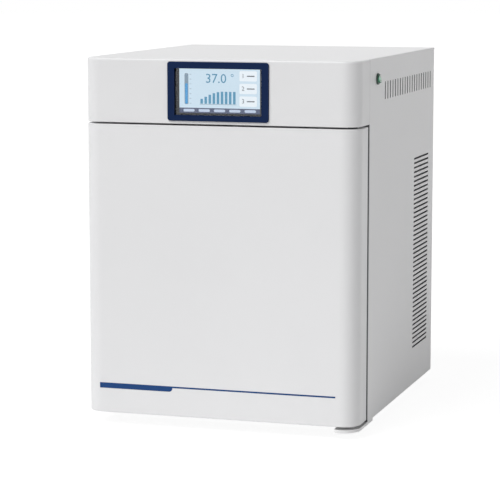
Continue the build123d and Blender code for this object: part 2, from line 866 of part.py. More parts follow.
def bush_bore(start_z, direction):
    """The bush's seat in its end cap."""
    return rod((hinge_x, hinge_y, start_z), (0, 0, direction), bush_radius, bush_depth)


def door_cap_bottom():
    """The lower end cap with the lower bush's boss."""
    cap = door_cap(door_bottom_z, door_bottom_z + cap_rim, door_bottom_z)
    return cap + bush_boss(door_bottom_z, 1) - bush_bore(door_bottom_z, 1)


def door_cap_top():
    """The upper end cap with the upper bush's boss."""
    cap = door_cap(door_top_z - cap_rim, door_top_z - cap_rim - cap_rib_depth, door_top_z)
    return cap + bush_boss(door_top_z, -1) - bush_bore(door_top_z, -1)


def door_bush(end_z, direction):
    """A flanged bush; direction runs from its flange into the door."""
    bush = rod((hinge_x, hinge_y, end_z), (0, 0, direction), bush_radius, bush_depth)
    flange_start = end_z - direction * bush_flange_height
    bush = bush + rod((hinge_x, hinge_y, flange_start), (0, 0, direction), bush_flange_radius, bush_flange_height)
    bore = hinge_pin_radius + running_clearance
    return bush - rod((hinge_x, hinge_y, flange_start), (0, 0, direction), bore, bush_depth + bush_flange_height)


def door_bushes():
    """The lower and the upper hinge bush."""
    return grouped([door_bush(door_bottom_z, 1), door_bush(door_top_z, -1)])


def plateau(inset, y_start, depth):
    """The raised field of the inner door panel, inset from the chamber's throat."""
    margin = strip_lip + plateau_inset + inset
    width = 2 * (chamber_half - margin)
    height = chamber_top_z - chamber_floor_z - 2 * margin
    middle_z = (chamber_top_z + chamber_floor_z) / 2
    return front_view(front_plate(width, height, 0, middle_z, plateau_corner - inset), y_start, depth)


def door_inner_panel():
    """The door's inner face with its raised field, a moulded sheet of one wall."""
    panel_y = door_back_y - door_panel_wall
    height = door_height - 2 * cap_rim
    middle_z = door_bottom_z + door_height / 2
    plate = front_view(Pos(0, middle_z) * Rectangle(2 * inner_half_width, height), panel_y, door_panel_wall)
    field = plateau(0, panel_y, door_panel_wall + plateau_height)
    field = fillet(field.faces().sort_by(Axis.Y)[-1].edges(), plateau_height / 2)
    return plate + field - plateau(door_panel_wall, panel_y, plateau_height)


def door_foam():
    """The foam that fills the door between skin, caps and inner panel."""
    bottom = door_bottom_z + cap_rim
    height = door_height - 2 * cap_rim
    panel_y = door_back_y - door_panel_wall
    block = door_slab(outer_sheet, bottom, height, panel_y)
    block = block - door_cap_bottom() - door_cap_top()
    block = block - bush_bore(door_bottom_z, 1) - bush_bore(door_top_z, -1)
    block = block - grip_form(grip_wall)
    return block + plateau(door_panel_wall, panel_y, plateau_height)


def gasket_ring(inner, outer, y_start, depth):
    """One ring of the gasket's section, from an inner to an outer distance off the opening."""
    ring = front_view(chamber_outline(strip_cover + gasket_margin + outer), y_start, depth)
    return ring - front_view(chamber_outline(strip_cover + gasket_margin + inner), y_start, depth)


def door_gasket():
    """The magnetic gasket: a foot on the door, a narrow bellows and a wide sealing head."""
    free_depth = seal_gap - gasket_clearance
    foot_depth = free_depth / 4
    head_depth = free_depth * 0.4
    neck_depth = free_depth - foot_depth - head_depth
    inset = gasket_width / 5
    foot = gasket_ring(0, gasket_width, door_back_y, foot_depth)
    neck = gasket_ring(inset, gasket_width - inset, door_back_y + foot_depth, neck_depth)
    head = gasket_ring(inset / 3, gasket_width - inset / 3, door_back_y + foot_depth + neck_depth, head_depth)
    return foot + neck + head


def door_stripe():
    """The printed film low on the door: a thick bar that runs on as a thin line."""
    left = -half_width + stripe_left_margin
    right = half_width - stripe_right_margin
    bottom = door_bottom_z + stripe_bottom
    top = bottom + stripe_bar_height
    middle = (bottom + top) / 2
    bar = Pos(left + stripe_bar_length / 2, middle) * Rectangle(stripe_bar_length, stripe_bar_height)
    lower_end = bar.vertices().group_by(Axis.Y)[0].sort_by(Axis.X)[-1]
    bar = fillet(lower_end, stripe_end_radius)
    line = Pos((left + right) / 2, top - stripe_line_height / 2) * Rectangle(right - left, stripe_line_height)
    return front_view(bar + line, front_y - stripe_thickness, stripe_thickness)


# Hinge

def lower_hinge_bracket():
    """The plate under the door's right corner, with a boss that carries the bush."""
    back_y = frame_y + bracket_rear_reach
    outline = Pos(half_width - bracket_width / 2, (front_y + back_y) / 2) * Rectangle(bracket_width, back_y - front_y)
    front = outline.vertices().group_by(Axis.Y)[0].sort_by(Axis.X)
    outline = fillet(front[0], bracket_corner_radius)
    outer = outline.vertices().filter_by_position(Axis.X, half_width - 0.01, half_width + 0.01).sort_by(Axis.Y)[0]
    outline = fillet(outer, corner_radius)
    plate = plan_view(outline, bracket_bottom_z, bracket_thickness)
    plate = fillet(plate.faces().sort_by(Axis.Z)[0].edges(), bracket_thickness / 5)
    boss_height = door_bottom_gap - bush_flange_height
    plate = plate + rod((hinge_x, hinge_y, base_z), (0, 0, 1), bracket_boss_radius, boss_height)
    plate = plate - rod((hinge_x, hinge_y, bracket_bottom_z), (0, 0, 1), hinge_pin_radius, bracket_thickness + boss_height)
    for x, y in lower_hinge_screw_points():
        plate = plate - rod((x, y, bracket_bottom_z), (0, 0, 1), hinge_screw_radius, bracket_thickness)
    return plate


def upper_bracket_level():
    """Underside of the upper bracket's arm, on the fascia's floor."""
    return fascia_bottom_z + fascia_wall


def upper_hinge_bracket():
    """The angle inside the fascia: a foot on the front frame and an arm over the door."""
    x = (hinge_x - upper_bracket_width + upper_bracket_front_reach, hinge_x + upper_bracket_front_reach)
    z = upper_bracket_level()
    arm_y = (hinge_y - upper_bracket_front_reach, fascia_back_y)
    arm = box_between(x, arm_y, (z, z + upper_bracket_sheet))
    foot = box_between(x, (frame_y - seam - upper_bracket_sheet, frame_y), (z, z + upper_bracket_height))
    foot_x = (x[0], half_width - panel_flange - assembly_gap)
    foot = foot & box_between(foot_x, (front_y, frame_y), (z, top_z))
    bracket = arm + foot
    bracket = bracket - rod((hinge_x, hinge_y, z), (0, 0, 1), hinge_pin_radius, upper_bracket_sheet)
    for x, z in upper_hinge_screw_points():
        bracket = bracket - rod((x, hinge_y, z), (0, 1, 0), hinge_screw_radius, frame_y - hinge_y)
    return bracket


def hinge_pins():
    """The lower pin, pressed into its bracket, and the upper one that hangs from its arm."""
    lower_length = door_bottom_z + hinge_pin_reach - bracket_bottom_z
    lower = rod((hinge_x, hinge_y, bracket_bottom_z), (0, 0, 1), hinge_pin_radius, lower_length)
    lower = chamfer(lower.edges().sort_by(Axis.Z)[-1], hinge_pin_radius / 4)
    upper_top = upper_bracket_level() + upper_bracket_sheet
    upper = rod((hinge_x, hinge_y, upper_top), (0, 0, -1), hinge_pin_radius, upper_top - door_top_z + hinge_pin_reach)
    upper = upper + rod((hinge_x, hinge_y, upper_top), (0, 0, 1), hinge_pin_radius * 1.6, hinge_pin_radius / 2)
    upper = chamfer(upper.edges().sort_by(Axis.Z)[0], hinge_pin_radius / 4)
    return grouped([lower, upper])


def hinge_screws():
    """Two screws under the lower bracket and two through the upper bracket's foot."""
    screws = []
    for x, y in lower_hinge_screw_points():
        screws.append(pan_screw((x, y, bracket_bottom_z), (0, 0, 1), hinge_screw_radius, pan_top_z - bracket_bottom_z))
    head_y = frame_y - seam - upper_bracket_sheet
    for x, z in upper_hinge_screw_points():
        screws.append(pan_screw((x, head_y, z), (0, 1, 0), hinge_screw_radius, frame_back_y - head_y))
    return grouped(screws)


# Chamber fittings

def slotted_upright(y):
    """One right-hand upright: a channel against the liner with a ladder of slots."""
    x = (upright_face_x, chamber_half)
    post = box_between(x, (y - upright_width / 2, y + upright_width / 2), (upright_bottom_z, upright_top_z))
    hollow_y = (y - upright_width / 2 + upright_sheet, y + upright_width / 2 - upright_sheet)
    hollow_x = (upright_face_x + upright_sheet, chamber_half)
    post = post - box_between(hollow_x, hollow_y, (upright_bottom_z, upright_top_z))
    count = int((upright_top_z - upright_bottom_z) / upright_slot_pitch)
    for slot in range(count):
        z = upright_bottom_z + (slot + 0.5) * upright_slot_pitch
        slot_y = (y - upright_slot_width / 2, y + upright_slot_width / 2)
        post = post - box_between((upright_face_x, upright_face_x + upright_sheet), slot_y, (z - upright_slot_height, z))
    return post


def shelf_uprights():
    """The four uprights, two on each side wall."""
    posts = []
    for y in upright_centres():
        posts.extend(both_sides(slotted_upright(y)))
    return grouped(posts)


def shelf_supports(slot):
    """The pair of angle rails at one level, hooked through the uprights' slots."""
    z = shelf_level(slot)
    y = (shelf_front_y, shelf_back_y)
    back = box_between((upright_face_x - support_sheet, upright_face_x), y, (z - support_sheet, z + support_height - support_sheet))
    leg = box_between((upright_face_x - support_leg, upright_face_x), y, (z - support_sheet, z))
    rail = back + leg
    hook_z = (z - upright_slot_height + hook_clearance, z - hook_clearance)
    for centre in upright_centres():
        hook_y = (centre - upright_slot_width / 2 + hook_clearance, centre + upright_slot_width / 2 - hook_clearance)
        hook_x = (upright_face_x - support_sheet, upright_face_x + 2 * upright_sheet)
        rail = rail + box_between(hook_x, hook_y, hook_z)
    return grouped(both_sides(rail))


def wire_shelf(slot):
    """A welded wire shelf that lies on the support rails of one level."""
    z = shelf_level(slot) + shelf_frame_radius
    x = shelf_half_width - shelf_frame_radius
    y_front = shelf_front_y + shelf_frame_radius
    y_back = shelf_back_y - shelf_frame_radius
    corners = [(-x, y_front, z), (x, y_front, z), (x, y_back, z), (-x, y_back, z)]
    frame = swept_tube(FilletPolyline(*corners, radius=shelf_corner_radius, close=True), shelf_frame_radius)
    wire_z = z + shelf_frame_radius + shelf_wire_radius - weld_depth
    count = int(2 * (x - shelf_corner_radius) / shelf_wire_pitch)
    shelf = frame
    for index in range(count + 1):
        start = ((index - count / 2) * shelf_wire_pitch, shelf_front_y, wire_z)
        shelf = shelf + rod(start, (0, 1, 0), shelf_wire_radius, shelf_back_y - shelf_front_y)
    middle_y = (y_front + y_back) / 2
    stay_z = wire_z - shelf_wire_radius - shelf_stay_radius + weld_depth
    return shelf + rod((-x, middle_y, stay_z), (1, 0, 0), shelf_stay_radius, 2 * x)


def fan_grille():
    """Round field of level slots in front of the circulation fan."""
    radius = fan_radius + fan_grille_margin
    height = fan_grille_pitch - fan_grille_bar
    count = int(2 * radius / fan_grille_pitch)
    field = Sketch()
    for row in range(count):
        offset = (row - (count - 1) / 2) * fan_grille_pitch
        half_chord = math.sqrt(radius ** 2 - offset ** 2)
        field = field + Pos(0, fan_z + offset) * SlotOverall(2 * half_chord, height)
    return front_view(field, duct_y, duct_sheet)


def duct_slots(z):
    """A field of outlet slots across the duct panel, centred at one height."""
    field = Sketch()
    row_field = slot_field(duct_slot_width, duct_slot_height, duct_slot_pitch, duct_slot_rows)
    column_pitch = 2 * chamber_half / (duct_slot_columns + 0.6)
    for column in range(duct_slot_columns):
        x = (column - (duct_slot_columns - 1) / 2) * column_pitch
        field = field + Pos(x, z) * row_field
    return front_view(field, duct_y, duct_sheet)


def air_duct_panel():
    """The panel in front of fan and evaporator, turned back to the rear wall at both sides."""
    half = chamber_half - assembly_gap
    z = (chamber_floor_z + liner_corner, chamber_top_z - liner_corner)
    panel = box_between((-half, half), (duct_y, chamber_back_y), z)
    hollow_x = (-half + duct_sheet, half - duct_sheet)
    panel = panel - box_between(hollow_x, (duct_y + duct_sheet, chamber_back_y), z)
    margin = duct_slot_rows * duct_slot_pitch
    panel = panel - duct_slots(z[0] + margin) - duct_slots(z[1] - margin)
    return panel - fan_grille()


def circulation_fan():
    """The wheel that moves the chamber's air, on its long shaft through the rear wall."""
    wheel = fan_wheel(fan_radius, fan_hub_radius, fan_wheel_depth, fan_blades)
    wheel = facing_back(wheel, 0, fan_back_y - fan_wheel_depth / 2, fan_z)
    shaft_length = bulkhead_back_y + motor_plate_sheet + fan_motor_length / 2 - fan_back_y
    return wheel + rod((0, fan_back_y, fan_z), (0, 1, 0), fan_shaft_radius, shaft_length)


def circulation_fan_motor():
    """The motor behind the bulkhead, with its square mounting plate."""
    start_y = bulkhead_back_y
    plate = Pos(0, fan_z) * RectangleRounded(motor_plate, motor_plate, motor_plate / 12)
    motor = front_view(plate, start_y, motor_plate_sheet)
    can = rod((0, start_y, fan_z), (0, 1, 0), fan_motor_radius, motor_plate_sheet + fan_motor_length)
    can = fillet(can.edges().sort_by(Axis.Y)[-1], fan_motor_radius / 6)
    motor = motor + can
    bore_length = motor_plate_sheet + fan_motor_length / 2 + running_clearance
    return motor - rod((0, start_y, fan_z), (0, 1, 0), fan_shaft_radius + running_clearance, bore_length)


def heater_element():
    """The ring heater round the fan, its two ends turned back to the rear wall."""
    y = fan_back_y - fan_wheel_depth / 2
    ring_radius = fan_radius + heater_gap
    end_x = heater_opening / 2 + 2 * heater_radius
    half_opening = math.degrees(math.asin(heater_opening / 2 / ring_radius))
    plane = Plane.XZ.offset(-y) * Pos(0, fan_z)
    arc = plane * CenterArc((0, 0), ring_radius, half_opening - 90, 360 - 2 * half_opening)
    ring = swept_tube(arc, heater_radius)
    end_z = fan_z - math.sqrt(ring_radius ** 2 - end_x ** 2)
    for side in (-1, 1):
        ring = ring + rod((side * end_x, y, end_z), (0, 1, 0), heater_radius * 0.9, chamber_back_y - y)
    return ring


def serpentine(half, left_exit, y, low_z, passes, pitch):
    """Points of a tube that runs to and fro between -half and half, both ends on the left."""
    points = [(-left_exit, y, low_z)]
    for index in range(passes):
        z = low_z + index * pitch
        side = 1 if index % 2 == 0 else -1
        if index == passes - 1:
            points.append((-left_exit, y, z))
        else:
            points.extend([(side * half, y, z), (side * half, y, z + pitch)])
    return points


def evaporator_level():
    """Height of the evaporator's lowest pass."""
    return chamber_floor_z + evaporator_bottom


def evaporator_exits():
    """Where the evaporator's two ends pass the rear wall, x and z."""
    x = -evaporator_width / 2 - tube_exit_offset
    low = evaporator_level()
    return [(x, low), (x, low + (evaporator_passes - 1) * evaporator_pitch)]


def evaporator_coil():
    """The evaporator: a serpentine tube carried by two end plates on the rear wall."""
    y = (duct_y + duct_sheet + chamber_back_y) / 2
    exit_x = evaporator_width / 2 + tube_exit_offset
    points = serpentine(evaporator_width / 2, exit_x, y, evaporator_level(), evaporator_passes, evaporator_pitch)
    exit_y = bulkhead_back_y + tube_exit
    low, high = evaporator_exits()
    points = [(low[0], exit_y, low[1])] + points + [(high[0], exit_y, high[1])]
    coil = swept_tube(tube_path(points, evaporator_pitch * tube_bend_ratio), evaporator_tube_radius)
    plate_x = evaporator_width / 2 - evaporator_pitch
    z = (evaporator_level() - evaporator_pitch / 2, high[1] + evaporator_pitch / 2)
    plate_y = (y - 2 * evaporator_tube_radius, chamber_back_y)
    for plate in both_sides(box_between((plate_x, plate_x + evaporator_plate), plate_y, z)):
        coil = coil + plate
    return coil


def temperature_sensor():
    """The probe clipped upright on the duct panel, high in the chamber."""
    z_top = chamber_top_z - liner_corner - duct_slot_rows * duct_slot_pitch * 2
    y = duct_y - probe_radius - duct_sheet
    probe = rod((probe_x, y, z_top - probe_length), (0, 0, 1), probe_radius, probe_length)
    probe = fillet(probe.edges().sort_by(Axis.Z)[0], probe_radius * 0.9)
    clip_z = z_top - probe_length / 3
    clip = box_between((probe_x - 2 * probe_radius, probe_x + 2 * probe_radius), (y, duct_y), (clip_z, clip_z + 2 * probe_radius))
    return probe + clip


def drain_top():
    """The drain's inlet in the chamber's floor, under the duct."""
    return (0, (duct_y + chamber_back_y) / 2, chamber_floor_z - liner_sheet)


def drain_path():
    """The drain's way down through the foam and back over the condensate tray."""
    x, y, z = drain_top()
    low_z = pan_top_z + tray_pan_height + drain_radius
    end_y = bulkhead_back_y + (cover_y - bulkhead_back_y - tray_pan_depth) / 2 + tray_pan_depth / 3
    return FilletPolyline((x, y, z), (x, y, low_z), (x, end_y, low_z), (x, end_y, low_z - pipe_bend), radius=pipe_bend * 0.8)


def drain_tube():
    """The hollow drain tube."""
    path = drain_path()
    return swept_tube(path, drain_radius) - swept_tube(path, drain_radius - drain_wall)


# Machine space

def condensate_tray():
    """The open tray on the base pan that catches the drained water."""
    y_mid = (bulkhead_back_y + cover_y) / 2
    x = (-tray_pan_wall - 2 * drain_radius, tray_pan_width)
    y = (y_mid - tray_pan_depth / 2, y_mid + tray_pan_depth / 2)
    tray = box_between(x, y, (pan_top_z, pan_top_z + tray_pan_height - drain_radius))
    tray = fillet(tray.edges().filter_by(Axis.Z), tray_pan_wall * 4)
    hollow_x = (x[0] + tray_pan_wall, x[1] - tray_pan_wall)
    hollow_y = (y[0] + tray_pan_wall, y[1] - tray_pan_wall)
    hollow = box_between(hollow_x, hollow_y, (pan_top_z + tray_pan_wall, pan_top_z + tray_pan_height))
    hollow = fillet(hollow.edges().filter_by(Axis.Z), tray_pan_wall * 3)
    return tray - hollow


def grommet_centres():
    """Plan centres of the compressor's four rubber mounts."""
    reach = compressor_plate_size / 2 - grommet_inset
    return [(compressor_x + sx * reach, compressor_y + sy * reach) for sx in (-1, 1) for sy in (-1, 1)]


def compressor_grommets():
    """The rubber mounts between base pan and compressor: two flanges round a waist."""
    waist = grommet_radius * 0.75
    flange = grommet_height / 3
    mount = rod((0, 0, 0), (0, 0, 1), waist, grommet_height)
    mount = mount + rod((0, 0, 0), (0, 0, 1), grommet_radius, flange)
    mount = mount + rod((0, 0, grommet_height - flange), (0, 0, 1), grommet_radius, flange)
    return grouped([Pos(x, y, pan_top_z) * mount for x, y in grommet_centres()])


def compressor():
    """The hermetic compressor: a domed pot on a base plate, with its terminal box."""
    plate_z = pan_top_z + grommet_height
    half = compressor_plate_size / 2
    plate = Pos(compressor_x, compressor_y) * RectangleRounded(2 * half, 2 * half, grommet_inset)
    unit = plan_view(plate, plate_z, compressor_plate_sheet)
    pot_z = plate_z + compressor_plate_sheet
    pot = rod((compressor_x, compressor_y, pot_z), (0, 0, 1), compressor_radius, compressor_height)
    pot = fillet(pot.edges().filter_by(GeomType.CIRCLE), compressor_dome)
    unit = unit + pot + rod((compressor_x, compressor_y, pot_z), (0, 0, 1), compressor_radius / 2, compressor_dome)
    box_x = (compressor_x + compressor_radius * 0.8, compressor_x + compressor_radius * 1.15)
    box_y = (compressor_y - compressor_box_width / 2, compressor_y + compressor_box_width / 2)
    box_z = pot_z + compressor_height / 2
    return unit + box_between(box_x, box_y, (box_z - compressor_box_height / 2, box_z + compressor_box_height / 2))


def condenser_exit_x():
    """Distance of the condenser's two tube ends from the middle."""
    return condenser_width / 2 + tube_exit_offset


def condenser_coil():
    """The condenser: a serpentine tube between two upright edge plates."""
    half = condenser_width / 2
    points = serpentine(half, condenser_exit_x(), condenser_y, condenser_z, condenser_passes, condenser_pitch)
    coil = swept_tube(tube_path(points, condenser_pitch * tube_bend_ratio), condenser_tube_radius)
    plate_x = half - condenser_pitch
    y = (condenser_y - condenser_plate_width / 2, condenser_y + condenser_plate_width / 2)
    z = (condenser_z - condenser_pitch / 2, condenser_top_z + condenser_pitch / 2)
    for plate in both_sides(box_between((plate_x, plate_x + condenser_plate), y, z)):
        coil = coil + plate
    return coil


def condenser_shroud():
    """The fan shroud: a sheet with a round opening, turned back to the condenser's plates."""
    plate_x = condenser_width / 2 - condenser_pitch
    z = (cooling_fan_z - shroud_height / 2, cooling_fan_z + shroud_height / 2)
    sheet = box_between((-plate_x, plate_x), (shroud_y, shroud_y + shroud_sheet), z)
    turned_y = (shroud_y, condenser_y - condenser_tube_radius - seam)
    for edge in both_sides(box_between((plate_x - shroud_sheet, plate_x), turned_y, z)):
        sheet = sheet + edge
    opening = rod((0, shroud_y, cooling_fan_z), (0, 1, 0), cooling_fan_radius + cooling_fan_clearance, shroud_sheet)
    return sheet - opening


def cooling_fan_plane():
    """Front face of the condenser fan's wheel."""
    return shroud_y - cooling_fan_depth - cooling_fan_clearance


def condenser_fan():
    """The condenser fan's wheel and short shaft."""
    wheel = fan_wheel(cooling_fan_radius, fan_hub_radius, cooling_fan_depth, fan_blades - 1)
    wheel = facing_back(wheel, 0, cooling_fan_plane() + cooling_fan_depth / 2, cooling_fan_z)
    shaft = cooling_motor_length / 2 + cooling_fan_clearance
    return wheel + rod((0, cooling_fan_plane(), cooling_fan_z), (0, -1, 0), fan_shaft_radius, shaft)


def condenser_fan_motor():
    """The condenser fan's motor, carried by three arms that reach the shroud."""
    back_y = cooling_fan_plane() - cooling_fan_clearance
    can = rod((0, back_y, cooling_fan_z), (0, -1, 0), cooling_motor_radius, cooling_motor_length)
    can = fillet(can.edges().sort_by(Axis.Y)[0], cooling_motor_radius / 6)
    reach = cooling_fan_radius + 3 * cooling_fan_clearance
    arm_x = (0, reach)
    arm_z = (-motor_arm_width / 2, motor_arm_width / 2)
    arm = box_between(arm_x, (back_y - motor_arm_sheet, back_y), arm_z)
    arm = arm + box_between((reach - motor_arm_sheet, reach), (back_y - motor_arm_sheet, shroud_y), arm_z)
    motor = can
    for angle in (90, 210, 330):
        motor = motor + Pos(0, 0, cooling_fan_z) * Rot(0, angle, 0) * arm
    bore = fan_shaft_radius + running_clearance
    return motor - rod((0, back_y, cooling_fan_z), (0, -1, 0), bore, cooling_motor_length / 2 + running_clearance)


def drier_place():
    """Centre line and top of the filter drier: x, y and z."""
    x = -condenser_exit_x() - 2 * drier_radius - pipe_bend
    return (x, condenser_y, condenser_z - 2 * pipe_bend)


def filter_drier():
    """The drier in the liquid line, a capsule with drawn-in ends."""
    body = rod(drier_place(), (0, 0, -1), drier_radius, drier_length)
    return fillet(body.edges().filter_by(GeomType.CIRCLE), drier_radius * 0.6)


def discharge_pipe():
    """From the compressor's top round to the condenser's upper end."""
    x, y = compressor_x + pipe_bend, compressor_y + pipe_bend
    riser_x = -condenser_exit_x() - pipe_bend * 2
    low_z = compressor_top_z + 2 * pipe_bend
    points = [
        (x, y, compressor_top_z - discharge_radius),
        (x, y, low_z),
        (riser_x, y, low_z),
        (riser_x, y, condenser_top_z),
        (riser_x, condenser_y, condenser_top_z),
        (-condenser_exit_x(), condenser_y, condenser_top_z),
    ]
    return swept_tube(tube_path(points, pipe_bend * 0.9), discharge_radius)


def liquid_pipe():
    """From the condenser's lower end into the filter drier."""
    x, y, z = drier_place()
    points = [(-condenser_exit_x(), y, condenser_z), (x, y, condenser_z), (x, y, z)]
    return swept_tube(tube_path(points, pipe_bend * 0.9), discharge_radius)


def capillary_pipe():
    """From the filter drier to the evaporator's lower end."""
    x, y, z = drier_place()
    exit_x, exit_z = evaporator_exits()[0]
    exit_y = bulkhead_back_y + tube_exit
    turn_y = exit_y + pipe_bend * 1.2
    low_z = z - drier_length - pipe_bend
    points = [
        (x, y, z - drier_length),
        (x, y, low_z),
        (x, turn_y, low_z),
        (x, turn_y, exit_z),
        (exit_x, turn_y, exit_z),
        (exit_x, exit_y, exit_z),
    ]
    return swept_tube(tube_path(points, pipe_bend * 0.6), capillary_radius)


def suction_pipe():
    """From the evaporator's upper end down into the compressor's top."""
    exit_x, exit_z = evaporator_exits()[1]
    exit_y = bulkhead_back_y + tube_exit
    end_y = compressor_y - pipe_bend
    end_x = compressor_x - compressor_radius / 3
    points = [
        (exit_x, exit_y, exit_z),
        (exit_x, end_y, exit_z),
        (end_x, end_y, exit_z),
        (end_x, end_y, compressor_top_z - suction_radius),
    ]
    return swept_tube(tube_path(points, pipe_bend * 0.9), suction_radius)


def refrigerant_pipes():
    """Discharge, liquid, capillary and suction pipes."""
    pot = compressor()
    pipes = [discharge_pipe() - pot, liquid_pipe(), capillary_pipe(), suction_pipe() - pot]
    return grouped(pipes)


# Electronics

def control_board():
    """The populated board on its four standoffs."""
    y_mid = frame_back_y + board_setback
    z = tray_top_z + standoff_height
    x = (board_x - board_width / 2, board_x + board_width / 2)
    y = (y_mid - board_depth / 2, y_mid + board_depth / 2)
    board = box_between(x, y, (z, z + board_sheet))
    for post_x in (x[0] + standoff_inset, x[1] - standoff_inset):
        for post_y in (y[0] + standoff_inset, y[1] - standoff_inset):
            board = board + rod((post_x, post_y, tray_top_z), (0, 0, 1), standoff_radius, standoff_height)
    top = z + board_sheet
    relay_depth = board_depth / 8
    for index in range(4):
        relay_x = x[0] + board_width * (0.12 + 0.15 * index)
        relay_y = y[1] - board_depth * 0.3
        board = board + box_between((relay_x, relay_x + board_width / 10), (relay_y, relay_y + relay_depth), (top, top + relay_depth))
    terminal_x = (x[0] + board_width * 0.1, x[1] - board_width * 0.1)
    board = board + box_between(terminal_x, (y[0] + 4, y[0] + 4 + relay_depth), (top, top + relay_depth * 0.8))
    return board + rod((x[1] - board_width * 0.2, y_mid, top), (0, 0, 1), relay_depth / 2, relay_depth * 1.5)


def power_supply():
    """The boxed power supply on the tray."""
    y_mid = frame_back_y + supply_setback
    x = (supply_x - supply_width / 2, supply_x + supply_width / 2)
    y = (y_mid - supply_depth / 2, y_mid + supply_depth / 2)
    case = box_between(x, y, (tray_top_z, tray_top_z + supply_height))
    terminals = box_between((x[0], x[0] + supply_depth / 6), (y[0] + 6, y[1] - 6), (tray_top_z + supply_height / 2, tray_top_z + supply_height))
    return case - terminals


def power_inlet():
    """The mains inlet: a flange on the rear cover and a deep socket behind it."""
    z = base_z + inlet_height
    flange = front_view(front_plate(inlet_flange_width, inlet_flange_height, inlet_x, z, 3), rear_y, inlet_flange_thickness)
    body_start_y = rear_y - inlet_body_depth
    body = Pos(inlet_x, z) * Rectangle(inlet_body_width - assembly_gap, inlet_body_height - assembly_gap)
    inlet = flange + front_view(body, body_start_y, inlet_body_depth)
    mouth_y = rear_y + inlet_flange_thickness
    socket = Pos(inlet_x, z) * Rectangle(inlet_socket_width, inlet_socket_height)
    upper = socket.vertices().group_by(Axis.Y)[-1]
    socket = chamfer(upper, inlet_socket_height / 4)
    inlet = inlet - front_view(socket, mouth_y - inlet_socket_depth, inlet_socket_depth)
    return inlet - joined(inlet_pin_boxes(body_start_y))


def inlet_pin_boxes(start_y):
    """The three flat pins of the inlet, from the socket's floor outwards."""
    z = base_z + inlet_height
    end_y = rear_y + inlet_flange_thickness - inlet_socket_depth + inlet_pin_reach
    places = [(-inlet_pin_spacing, -2.0), (0, 2.0), (inlet_pin_spacing, -2.0)]
    pins = []
    for offset_x, offset_z in places:
        x = (inlet_x + offset_x - 1.0, inlet_x + offset_x + 1.0)
        pins.append(box_between(x, (start_y, end_y), (z + offset_z - 2.0, z + offset_z + 2.0)))
    return pins


def inlet_pins():
    """The inlet's pins, which pass through its floor."""
    return grouped(inlet_pin_boxes(rear_y - inlet_body_depth))


pieces = {
    "side_panel_left": side_panel_left,
    "side_panel_right": side_panel_right,
    "top_cover": top_cover,
    "rear_cover": rear_cover,
    "rear_cover_screws": rear_cover_screws,
    "base_pan": base_pan,
    "front_frame": front_frame,
    "rear_bulkhead": rear_bulkhead,
    "electronics_tray": electronics_tray,
    "insulation": insulation,
    "inner_liner": inner_liner,
    "breaker_strip": breaker_strip,
    "control_fascia": control_fascia,
    "display_bezel": display_bezel,
    "display_glass": display_glass,
    "display_module": display_module,
    "power_switch_body": power_switch_body,
    "power_rocker": power_rocker,
    "lower_hinge_bracket": lower_hinge_bracket,
    "upper_hinge_bracket": upper_hinge_bracket,
    "hinge_pins": hinge_pins,
    "hinge_screws": hinge_screws,
    "feet": feet,
    "foot_screws": foot_screws,
    "shelf_uprights": shelf_uprights,
    "air_duct_panel": air_duct_panel,
    "circulation_fan": circulation_fan,
    "circulation_fan_motor": circulation_fan_motor,
    "heater_element": heater_element,
    "evaporator_coil": evaporator_coil,
    "temperature_sensor": temperature_sensor,
    "drain_tube": drain_tube,
    "condensate_tray": condensate_tray,
    "compressor": compressor,
    "compressor_grommets": compressor_grommets,
    "condenser_coil": condenser_coil,
    "condenser_shroud": condenser_shroud,
    "condenser_fan": condenser_fan,
    "condenser_fan_motor": condenser_fan_motor,
    "filter_drier": filter_drier,
    "refrigerant_pipes": refrigerant_pipes,
    "control_board": control_board,
    "power_supply": power_supply,
    "power_inlet": power_inlet,
    "inlet_pins": inlet_pins,
    "door_skin": door_skin,
    "door_cap_bottom": door_cap_bottom,
    "door_cap_top": door_cap_top,
    "door_bushes": door_bushes,
    "door_foam": door_foam,
    "door_inner_panel": door_inner_panel,
    "door_gasket": door_gasket,
    "door_grip": door_grip,
    "door_stripe": door_stripe,
}

os.makedirs("parts", exist_ok=True)
for name, make in pieces.items():
    export_step(make(), f"parts/{name}.step")

for level, slot in zip(("lower", "middle", "upper"), shelf_slots):
    export_step(shelf_supports(slot), f"parts/shelf_supports_{level}.step")
    export_step(wire_shelf(slot), f"parts/shelf_{level}.step")
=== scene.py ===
"""Finishes, fine pieces, light and camera of a low-temperature incubator."""
import logging
import math
from dataclasses import dataclass
from enum import Enum
from typing import Any, Iterable, Sequence

import bpy
from mathutils import Matrix, Vector


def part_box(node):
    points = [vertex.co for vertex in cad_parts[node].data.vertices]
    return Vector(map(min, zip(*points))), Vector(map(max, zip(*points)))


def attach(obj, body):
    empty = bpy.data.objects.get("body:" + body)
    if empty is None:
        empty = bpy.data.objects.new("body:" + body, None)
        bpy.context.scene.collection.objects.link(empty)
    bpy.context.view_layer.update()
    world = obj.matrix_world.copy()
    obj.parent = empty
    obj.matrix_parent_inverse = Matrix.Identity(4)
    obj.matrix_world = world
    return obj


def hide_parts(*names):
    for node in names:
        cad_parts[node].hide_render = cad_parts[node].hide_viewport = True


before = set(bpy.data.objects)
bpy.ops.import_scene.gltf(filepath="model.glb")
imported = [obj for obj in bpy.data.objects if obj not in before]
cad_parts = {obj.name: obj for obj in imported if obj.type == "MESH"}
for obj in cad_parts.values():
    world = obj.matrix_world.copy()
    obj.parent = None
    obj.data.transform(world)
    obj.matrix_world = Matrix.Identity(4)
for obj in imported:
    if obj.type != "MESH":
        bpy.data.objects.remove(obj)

log = logging.getLogger("incubator")

MM = 0.001
PHOTO_PIXELS = 500
LAST_SRGB_STEP = 0.04045

Colour = tuple[float, float, float]
Point = tuple[float, float, float]


